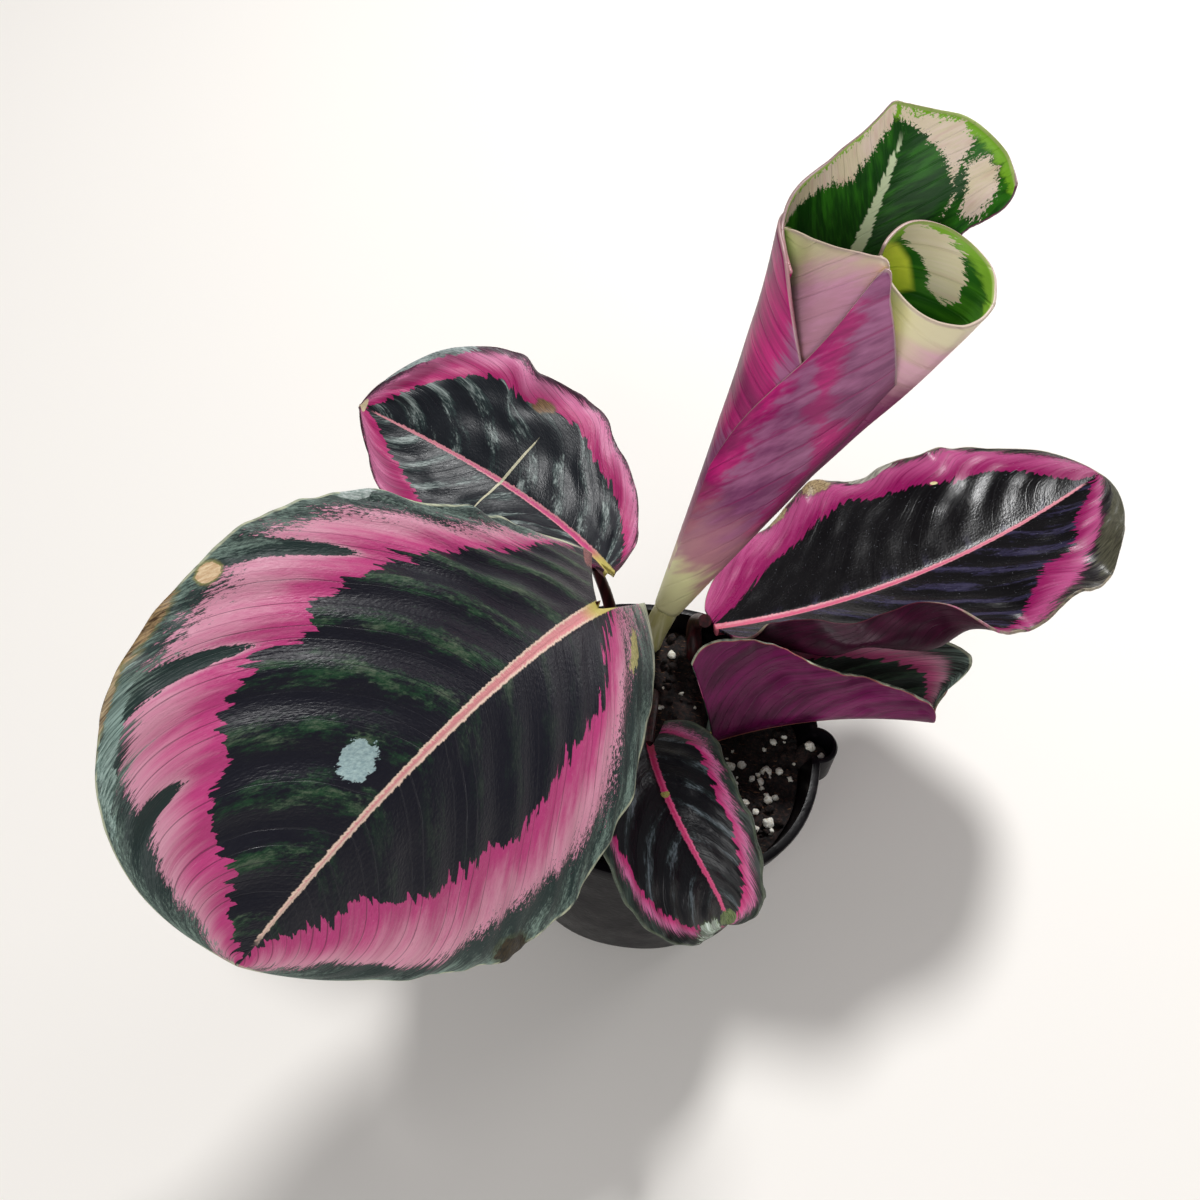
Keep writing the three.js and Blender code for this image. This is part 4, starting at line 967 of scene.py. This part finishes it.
low_right_amounts = {"Tooth": 0.4, "Speck": 0.35, "Folds": 6, "Green": 1.0, "Painted sheen": 0.6, "Side": 0.0, "Dust": 0.0}
low_right_skin = leaf_upper("low_right_leaf", low_right_colours, low_right_amounts, 0.42, 0.4)
magenta = leaf_underside("magenta_underside", (62, 0, 42), (126, 18, 90), (206, 130, 104), 0.4, 0.28)
make_blade("leaf_low_right", "blade_low_right", LOW_RIGHT, 130, 110, low_right_skin, magenta)


# Small front leaf
# A small young blade that hangs over the pot's front, dark and glossy, with a bright pink midrib.
FRONT = {
    "base": (-0.0027, -0.0129, 0.080), "heading": (-81, -15.5), "rise": (20.1, -76.1), "roll": (17.3, -50),
    "length": 0.059, "bulge": 0.364, "taper": 0.591, "root": 0.005, "cup": -0.157, "ribs": 7, "crumple": 0.0007,
    "seed": 5, "rib_width": (0.0009, 0.0003),
    "left": {
        "width": 0.017, "lobe": 0.146, "fold": 27.4, "wave": (2.5, 0.0009, 0.4), "rib_size": 0.0003, "frill": 0.0004,
        "centre": [(0, 0.66), (0.3, 0.7), (0.6, 0.68), (0.85, 0.5), (1, 0.2)],
        "band": [(0, 0.82), (0.3, 0.86), (0.6, 0.84), (0.85, 0.8), (1, 0.5)],
    },
    "right": {
        "width": 0.0234, "lobe": 0.146, "fold": 18.4, "wave": (2.5, 0.0008, 0.1), "rib_size": 0.0003, "frill": 0.0005,
        "centre": [(0, 0.78), (0.3, 0.78), (0.6, 0.76), (0.85, 0.62), (1, 0.3)],
        "band": [(0, 0.86), (0.3, 0.87), (0.6, 0.86), (0.85, 0.78), (1, 0.5)],
    },
}
# Painted shade: the margin colours are near black, the leaf's own dark margin darkened further as shade.
front_colours = dict(front_left_colours, **{
    "Centre": (12, 12, 18), "Centre green": (30, 40, 40), "Sheen": (120, 132, 140), "Pink": (204, 52, 124),
    "Pale pink": (220, 120, 170), "Hot pink": (190, 20, 110), "Rib": (222, 36, 112), "Rib edge": (226, 90, 140),
    "Rib base": (206, 60, 100), "Margin": (14, 18, 18), "Margin light": (56, 72, 64), "Rim": (80, 90, 72)})
front_amounts = {"Tooth": 0.4, "Speck": 0.35, "Folds": 7, "Green": 0.9, "Painted sheen": 1.0, "Side": 0.0, "Dust": 0.0}
# Painted highlight: the first patch is a whitish glare painted near the tip.
front_patches = [
    ((0.92, 0.6), (0.06, 0.3), (110, 130, 100), (226, 240, 230), (60, 78, 40), 2.4),
    ((0.95, -0.1), (0.06, 0.36), (56, 74, 30), (130, 150, 90), None, 2.0),
    ((0.28, 0.0), (0.014, 0.06), (150, 140, 60), (206, 196, 120), None, 0.5),
]
front_skin = leaf_upper("front_leaf", front_colours, front_amounts, 0.36, 0.4, front_patches)
make_blade("leaf_front", "blade_front", FRONT, 130, 100, front_skin, shade_darkened_plum)



# Rolled young leaf
# The newest leaf, still rolled into a leaning funnel in overlapping layers, magenta outside and
# fresh green with a cream band inside. Its right side is curled into a second, smaller scroll.
ROLL_FOOT = Vector((-0.0012, 0.037, 0.078))
ROLL_AXIS = Vector((0.282, 0.15, 0.948)).normalized()
ROLL_WALL = 0.0008
ROLL_FOOT_RADIUS = 3.5
ROLL_WIDENING = 0.1592
ROLL_FLARE = 0.00007
ROLL_RIM = [(34, 141), (41, 143), (49, 145), (63, 146.5), (75, 146.5), (86, 145), (95, 144), (103, 143.3), (109, 142.5),
            (112, 139), (117, 134), (123, 130), (130, 126), (148, 121), (160, 117.5), (172, 114.4), (205, 110)]
ROLL_LIP = [(34, 1), (60, 0.97), (75, 0.98), (86, 1), (103, 1.02), (112, 1.04), (117, 1.06), (130, 1.1), (148, 1.1),
            (171, 1.08), (190, 1), (345, 1)]
ROLL_END_FLARE = [(60, 0.96), (118, 0.86), (127.5, 0.86), (130.5, 1), (134, 1.12), (137.5, 1.12), (141, 1.04)]
ROLL_FRONT_RIM = [(150, 111.5), (165, 113), (180, 115.5), (200, 118), (225, 121.5), (246, 125), (256, 126), (263, 121),
                  (271, 110), (285, 100)]
ROLL_LEFT_EDGE = [(120, 116), (160, 114.5), (182, 113.5), (200, 111.5), (220, 105), (244, 95), (254, 90)]
ROLL_RIGHT_EDGE = [(180, 38), (197, 48), (220, 70), (244, 95), (251, 108), (256, 125), (268, 119), (290, 108),
                   (315, 98), (345, 92)]
SCROLL_ANGLE = math.radians(-19)
SCROLL_START = 38
SCROLL_FOOT_RADIUS = 1.6
SCROLL_TOP = 120
SCROLL_RADIUS = 14.4
SCROLL_BULGE = 3.8
SCROLL_RIM = [(-180, 120), (-150, 118.5), (-120, 117), (-90, 116.5), (-45, 118), (0, 122), (30, 125), (60, 126.5),
              (90, 127), (120, 126), (140, 124), (165, 121)]
MIDRIB_ANGLE = 95

# The cream areas and the bright yellow-green lens of the inner face, and the duller area of the outer sheets, as
# outlines in degrees around the roll and millimetres up it. The lens is its own yellow-green painted brighter, as
# painted light shining through the leaf.
LEFT_CREAM = [(162, 112), (140, 117), (126, 121), (112, 124), (109, 129), (107, 135), (105, 141), (110, 146), (113, 138),
              (118, 132), (130, 125), (148, 120), (160, 116.5)]
RIGHT_CREAM = [(50, 122), (54, 128), (58, 132), (66, 135), (76, 138), (88, 139), (104, 140), (104, 142.5), (94, 143),
               (84, 144), (74, 145.4), (65, 144), (63, 141), (63.5, 136), (57, 131), (53, 127)]
OUTER_CREAM = [(61, 139), (54, 142), (46, 141), (42, 136), (40, 132), (34, 129), (46, 129), (55, 133)]
SCROLL_CREAM = [(135, 127), (110, 126), (84, 125), (60, 123.5), (45, 120), (36, 115), (45, 112), (69, 113), (85, 117),
                (110, 120), (130, 122)]
SCROLL_LENS = [(165, 122), (150, 122), (128, 121), (104, 118), (78, 111), (100, 108), (130, 108), (165, 108)]
RIGHT_MAUVE = [(200, 20), (224, 46), (235, 58), (239, 68), (244, 77), (244, 98), (252, 101), (263, 88), (275, 80),
               (292, 74), (299, 65), (291, 59), (300, 40), (345, 20)]
EDGE_MAUVE = [(250, 128), (256, 112), (262, 104), (268, 96), (280, 86), (300, 84), (330, 90), (330, 128)]
LEFT_MAUVE = [(228, 101), (234, 90), (238, 80), (236, 68), (215, 66), (196, 60), (150, 50), (150, 20), (244, 20),
              (244, 40), (254, 60), (256, 90), (250, 97)]

roll_right = (Vector((1, 0, 0)) - ROLL_AXIS * ROLL_AXIS.x).normalized()
roll_back = ROLL_AXIS.cross(roll_right)


def roll_radius(height):
    return ROLL_FOOT_RADIUS + ROLL_WIDENING * height + ROLL_FLARE * height * height


def lip_radius(angle, height):
    return roll_radius(height) * (1 + (along(ROLL_LIP, angle) - 1) * ease(height, 90, 120))


def flared_radius(angle, height):
    return lip_radius(angle, height) * (1 + (along(ROLL_END_FLARE, height) - 1) * (1 - ease(angle, 38, 62)))


def front_radius(angle, height):
    inset = 3.2 * ease(height, 40, 118) * ease(angle, 150, 200) * ease(270 - angle, 0, 80)
    return lip_radius(angle, height) - 0.5 - inset


def left_radius(angle, height):
    return lip_radius(angle, height) + 0.5 + 0.9 * ease(angle, 140, 230) * ease(height, 40, 118)


def right_radius(angle, height):
    return roll_radius(height) + 0.7 + 1.6 * ease(300 - angle, 0, 60) * ease(height, 40, 118)


def scroll_radius(angle, height):
    share = (height - SCROLL_START) / (SCROLL_TOP - SCROLL_START)
    return SCROLL_FOOT_RADIUS + (SCROLL_RADIUS - SCROLL_FOOT_RADIUS) * share


def scroll_centre(height):
    out = roll_radius(height) + SCROLL_BULGE * ease(height, 40, 118) - scroll_radius(0, height)
    return Vector((out * math.cos(SCROLL_ANGLE), out * math.sin(SCROLL_ANGLE)))


def no_centre(height):
    return Vector((0, 0))


def depth_inside(outline, point, squeeze):
    """How far a point is inside an outline, in millimetres; below 0 outside."""
    corners = [Vector((angle * squeeze, height)) for angle, height in outline]
    least = 1e9
    inside = False
    for a, b in zip(corners, corners[1:] + corners[:1]):
        span = b - a
        share = min(max((point - a).dot(span) / span.length_squared, 0), 1)
        least = min(least, (point - a - share * span).length)
        if (a.y > point.y) != (b.y > point.y) and point.x < a.x + (point.y - a.y) / (b.y - a.y) * span.x:
            inside = not inside
    return least if inside else -least


def roll_layer(start, end, low, edge, radius, rows, columns, slots, slant, outlines, centre=no_centre):
    """One layer of the roll, from one angle to another and from a lower height up to its edge."""
    made = bmesh.ops.create_grid(bm, x_segments=rows, y_segments=columns, size=1)["verts"]
    for face in {face for vert in made for face in vert.link_faces}:
        face.material_index = slots
    for vert in made:
        angle = start + (end - start) * (vert.co.x + 1) / 2
        top = along(edge, angle)
        height = low + (top - low) * (vert.co.y + 1) / 2
        distance = radius(angle, height)
        swell = 0.35 * noise.noise(Vector((angle / 22, height / 14, slots))) * ease(height, 30, 90)
        middle = centre(height)
        a = middle.x + (distance + swell) * math.cos(math.radians(angle))
        b = middle.y + (distance + swell) * math.sin(math.radians(angle))
        arc = math.radians(angle - MIDRIB_ANGLE) * distance
        lean = abs(arc) if slant == 0 else arc * slant
        squeeze = math.radians(1) * distance
        spot = Vector((angle * squeeze, height))
        depths = [max(depth_inside(outline, spot, squeeze) for outline in group) for group in outlines]
        vert[place_layer] = Vector((angle, height, top - height))
        vert[flow_layer] = Vector((0.6 * height - 0.8 * lean + 200 * slots, 0.8 * height + 0.6 * lean, slots))
        vert[cream_layer] = depths[0]
        vert[dull_and_lens_layer] = depths[1]
        beside = math.radians(angle - 96 + 0.3 * (132 - height)) * distance
        vert[rib_layer] = abs(beside) - min(0.3 + 0.05 * (136 - height), 1.6) + 50 * (slots > 0)
        vert.co = ROLL_FOOT + ROLL_AXIS * (height / 1000) + roll_right * (a / 1000) + roll_back * (b / 1000)


def attribute_of(tree, name, output="Fac"):
    return add_node(tree, "Attribute", attribute_name=name).outputs[output]


def roll_outside(name, dull, warm, deep, side=None, crest=None, shade_below=None):
    """The roll's outer face: satin pink or magenta, duller near the overlaps, paler towards the foot."""
    material, tree, surface = new_material(name)
    flow = attribute_of(tree, "flow", "Vector")
    place = add_node(tree, "SeparateXYZ", attribute_of(tree, "roll_place", "Vector")).outputs
    run = add_node(tree, "SeparateXYZ", flow).outputs
    broad = vein_field(tree, flow, 7, 40, 3)
    medium = vein_field(tree, flow, 2, 14)
    fine = vein_field(tree, flow, 0.5, 5)
    patchy = weighed(tree, (broad, 1.0), (medium, 0.6), (fine, 0.35))
    lively = mixed(tree, fade(tree, patchy, -0.2, 0.3), srgb(*deep), srgb(*warm))
    dusty = fade(tree, weighed(tree, (attribute_of(tree, "dull"), 1.0), (medium, 14.0), (fine, 8.0)), -2.0, 2.0)
    tone = mixed(tree, dusty, lively, mixed(tree, fade(tree, patchy, -0.25, 0.3), srgb(*dull[0]), srgb(*dull[1])))
    if side:
        # Painted shade: the outer sheets are painted dark purple at both sides of the roll, where they turn away from
        # the light.
        ragged_angle = weighed(tree, (place[0], 1.0), (medium, 30.0))
        tone = mixed(tree, fade(tree, ragged_angle, 292.0, 325.0), tone, srgb(*side))
        tone = mixed(tree, fade(tree, ragged_angle, 196.0, 164.0), tone, srgb(*side))
    steps = math_node(tree, "FRACT", weighed(tree, (run[0], 1 / 3.6), (medium, 0.3)))
    gap = math_node(tree, "ABSOLUTE", math_node(tree, "SUBTRACT", steps, 0.5))
    line = fade(tree, gap, 0.07, 0.02)
    tone = mixed(tree, product(tree, line, 0.5), tone, srgb(*deep))
    foot = weighed(tree, (place[1], 1.0), (medium, 22.0), (broad, 14.0))
    tone = mixed(tree, fade(tree, foot, 50.0, 24.0), tone, srgb(200, 140, 150))
    tone = mixed(tree, fade(tree, foot, 26.0, 12.0), tone, srgb(255, 252, 190))
    if crest:
        near_rim = weighed(tree, (place[2], 1.0), (place[0], 0.1), (medium, 10.0), (broad, 12.0))
        tone = mixed(tree, fade(tree, near_rim, crest[1], crest[1] - 14.0), tone, srgb(*crest[0]))
    if shade_below:
        low_part = fade(tree, weighed(tree, (place[1], 1.0), (medium, 12.0)), shade_below, shade_below - 14.0)
        tone = mixed(tree, low_part, tone, srgb(118, 22, 82))
    edge_line = fade(tree, place[2], 0.7, 0.3)
    tone = mixed(tree, product(tree, edge_line, 0.6), tone, srgb(206, 178, 170))
    feed(tree, surface.inputs["Base Color"], tone)
    surface.inputs["Roughness"].default_value = 0.4
    surface.inputs["Subsurface Weight"].default_value = 0.0
    ripple = add_node(tree, "Bump")
    ripple.inputs["Strength"].default_value = 0.45
    ripple.inputs["Distance"].default_value = 0.0003
    feed(tree, ripple.inputs["Height"], weighed(tree, (line, -0.8), (fine, 0.8), (broad, 1.0)))
    feed(tree, surface.inputs["Normal"], ripple.outputs[0])
    return material


def roll_inside(name, deep, fresh, bright, cream_low, cream_high):
    """The roll's inner face: deep green with a ragged cream band and a bright green margin."""
    material, tree, surface = new_material(name)
    flow = attribute_of(tree, "flow", "Vector")
    place = add_node(tree, "SeparateXYZ", attribute_of(tree, "roll_place", "Vector")).outputs
    run = add_node(tree, "SeparateXYZ", flow).outputs
    broad = vein_field(tree, flow, 7, 40, 3)
    medium = vein_field(tree, flow, 2, 12)
    fine = vein_field(tree, flow, 0.6, 4)
    specks = vein_field(tree, flow, 0.5, 1.0, 3, 0.75)
    shade = fade(tree, weighed(tree, (medium, 1.0), (broad, 0.8), (fine, 0.4)), -0.2, 0.3)
    tone = mixed(tree, shade, srgb(*deep), srgb(*fresh))
    margin = weighed(tree, (place[2], 1.0), (medium, 5.0), (specks, 3.0))
    tone = mixed(tree, fade(tree, margin, 3.8, 2.0), tone, srgb(*bright))
    steps = math_node(tree, "FRACT", weighed(tree, (run[0], 1 / 3.6), (medium, 0.3)))
    gap = math_node(tree, "ABSOLUTE", math_node(tree, "SUBTRACT", steps, 0.5))
    line = fade(tree, gap, 0.06, 0.02)
    ragged = weighed(tree, (attribute_of(tree, "cream"), 1.0), (medium, 3.6), (fine, 3.0), (specks, 6.0))
    cream = mixed(tree, fade(tree, weighed(tree, (broad, 1.0), (fine, 0.6)), -0.25, 0.25), srgb(*cream_low), srgb(*cream_high))
    cream = mixed(tree, product(tree, fade(tree, medium, 0.0, 0.3), 0.6), cream, srgb(222, 176, 168))
    cream = mixed(tree, product(tree, fade(tree, specks, 0.18, 0.3), 0.6), cream, srgb(*fresh))
    tone = mixed(tree, fade(tree, ragged, -0.2, 0.3), tone, cream)
    tone = mixed(tree, product(tree, line, 0.07), tone, srgb(*deep))
    # Painted light: the lens inside the scroll is its own yellow-green painted very bright, as light shining through
    # the leaf.
    glow = mixed(tree, fade(tree, attribute_of(tree, "dull"), 0.0, 2.0), tone, srgb(252, 255, 84))
    rib_gap = weighed(tree, (attribute_of(tree, "midrib_gap"), 1.0), (medium, 2.0), (fine, 2.4))
    on_rib = product(tree, fade(tree, rib_gap, 0.3, -0.2), fade(tree, place[1], 138.0, 133.0))
    tone = mixed(tree, on_rib, glow, srgb(226, 240, 196))
    tone = mixed(tree, fade(tree, place[2], 0.9, 0.5), tone, srgb(176, 196, 110))
    feed(tree, surface.inputs["Base Color"], tone)
    surface.inputs["Roughness"].default_value = 0.45
    surface.inputs["Specular IOR Level"].default_value = 0.22
    ripple = add_node(tree, "Bump")
    ripple.inputs["Strength"].default_value = 0.45
    ripple.inputs["Distance"].default_value = 0.0003
    feed(tree, ripple.inputs["Height"], weighed(tree, (line, -0.8), (fine, 0.8), (broad, 1.0)))
    feed(tree, surface.inputs["Normal"], ripple.outputs[0])
    return material


bm = bmesh.new()
place_layer = bm.verts.layers.float_vector.new("roll_place")
flow_layer = bm.verts.layers.float_vector.new("flow")
cream_layer = bm.verts.layers.float.new("cream")
dull_and_lens_layer = bm.verts.layers.float.new("dull")
rib_layer = bm.verts.layers.float.new("midrib_gap")
NOWHERE = [[(0, -50), (1, -50), (0, -51)]]
mouth_outlines = ([LEFT_CREAM, RIGHT_CREAM, OUTER_CREAM], NOWHERE)
roll_layer(34, 205, 0, ROLL_RIM, flared_radius, 150, 90, 0, 0, mouth_outlines)
roll_layer(150, 285, 30, ROLL_FRONT_RIM, front_radius, 90, 60, 2, 0.5, (NOWHERE, NOWHERE))
roll_layer(120, 254, 0, ROLL_LEFT_EDGE, left_radius, 90, 70, 0, -0.2, (NOWHERE, [LEFT_MAUVE]))
roll_layer(202, 345, 0, ROLL_RIGHT_EDGE, right_radius, 100, 70, 0, 0.75, (NOWHERE, [RIGHT_MAUVE, EDGE_MAUVE]))
roll_layer(-180, 165, 54, SCROLL_RIM, scroll_radius, 120, 60, 4, -0.15, ([SCROLL_CREAM], [SCROLL_LENS]), scroll_centre)
sheet_outside = roll_outside("roll_outer_sheets", ((112, 44, 92), (172, 104, 146)), (216, 26, 132), (140, 4, 90),
                             (82, 4, 52))
sheet_inside = roll_inside("roll_mouth", (16, 70, 10), (50, 124, 22), (134, 192, 46), (238, 222, 188), (252, 228, 214))
front_outside = roll_outside("roll_front_sheet", ((150, 110, 122), (206, 160, 180)), (222, 158, 194), (196, 140, 160),
                             crest=((212, 202, 158), 34.0))
front_inside = roll_inside("roll_front_inside", (30, 70, 20), (60, 110, 30), (120, 160, 50), (200, 180, 150), (220, 200, 180))
scroll_outside = roll_outside("roll_scroll_outside", ((170, 130, 130), (206, 176, 160)), (222, 170, 188), (204, 166, 160),
                              crest=((224, 214, 176), 8.0), shade_below=104.0)
scroll_inside = roll_inside("roll_scroll_inside", (34, 96, 18), (78, 146, 34), (140, 192, 56), (240, 224, 188), (252, 230, 214))
rolled = piece_from(bm, "leaf_rolled", sheet_outside, sheet_inside, front_outside, front_inside, scroll_outside,
                    scroll_inside)
solid = rolled.modifiers.new("thickness", "SOLIDIFY")
solid.thickness = ROLL_WALL
solid.offset = -1
solid.material_offset = 1
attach(rolled, "root")
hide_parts("blade_rolled")



# Stalks
# Round stalks that rise from the crown in the soil to each blade, maroon and satin, the rolled
# leaf's one thick and pale. Each widens a little at the foot.
def make_stalk(name, node, points, foot, head, material, sides=20, steps=48):
    curve = bpy.data.curves.new(name, "CURVE")
    curve.dimensions = "3D"
    curve.bevel_depth = 1
    curve.bevel_resolution = sides // 4
    curve.use_fill_caps = True
    curve.resolution_u = steps // (len(points) - 1)
    spline = curve.splines.new("BEZIER")
    spline.bezier_points.add(len(points) - 1)
    for index, (knot, point) in enumerate(zip(spline.bezier_points, points)):
        knot.co = point
        knot.handle_left_type = "AUTO"
        knot.handle_right_type = "AUTO"
        knot.radius = foot + (head - foot) * index / (len(points) - 1)
    guide = bpy.data.objects.new(name + "_guide", curve)
    bpy.context.scene.collection.objects.link(guide)
    bpy.context.view_layer.update()
    mesh = bpy.data.meshes.new_from_object(guide)
    bpy.data.objects.remove(guide)
    mesh.name = name
    mesh.materials.clear()
    mesh.materials.append(material)
    for polygon in mesh.polygons:
        polygon.use_smooth = True
    stalk = bpy.data.objects.new(name, mesh)
    bpy.context.scene.collection.objects.link(stalk)
    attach(stalk, "root")
    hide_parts(node)


def stalk_skin(name, dark, light):
    material, tree, surface = new_material(name)
    place = add_node(tree, "TexCoord").outputs["Object"]
    fibre = rough_field(tree, add_node(tree, "Mapping", place, None, None, (900, 900, 60)).outputs[0], 1, 3)
    feed(tree, surface.inputs["Base Color"], mixed(tree, fade(tree, fibre, 0.35, 0.68), srgb(*dark), srgb(*light)))
    surface.inputs["Roughness"].default_value = 0.42
    ridges = add_node(tree, "Bump")
    ridges.inputs["Strength"].default_value = 0.35
    ridges.inputs["Distance"].default_value = 0.0003
    feed(tree, ridges.inputs["Height"], fibre)
    feed(tree, surface.inputs["Normal"], ridges.outputs[0])
    return material


maroon = stalk_skin("maroon_stalk", (34, 6, 10), (74, 22, 28))
pale_green = stalk_skin("pale_stalk", (222, 218, 146), (246, 242, 188))
STALKS = {
    "front_left": ([(-12, 19, 44), (-14, 18.5, 66), (-19, 11, 94), (-23, -3.2, 117)], 2.6, 1.8, maroon),
    "back": ([(-12.5, 27, 44), (-13.5, 28.5, 62), (-18, 30.5, 82), (-23.4, 29, 99.6)], 2.3, 1.5, maroon),
    "right": ([(9.4, 32.6, 44), (9.2, 33, 62), (7.6, 36.5, 72), (9.7, 32, 79.7)], 2.7, 2, maroon),
    "low_right": ([(8, 8, 44), (9, 6, 57), (10.8, 2.2, 63.5), (13.9, -0.6, 67.9)], 1.9, 1.4, maroon),
    "front": ([(-2, 18, 44), (-2.2, 16, 60), (-2.4, 8, 72), (-2.9, -11.7, 78.2)], 2.2, 1.3, maroon),
    "rolled": ([(-5, 31, 44), (-4.8, 34.8, 61), (-1.3, 36.95, 77.4)], 3.9, 3.7, pale_green),
}
for name, (points, foot, head, material) in STALKS.items():
    metres = [Vector(point) / 1000 for point in points]
    make_stalk("petiole_" + name, "stalk_" + name, metres, foot / 1000, head / 1000, material)
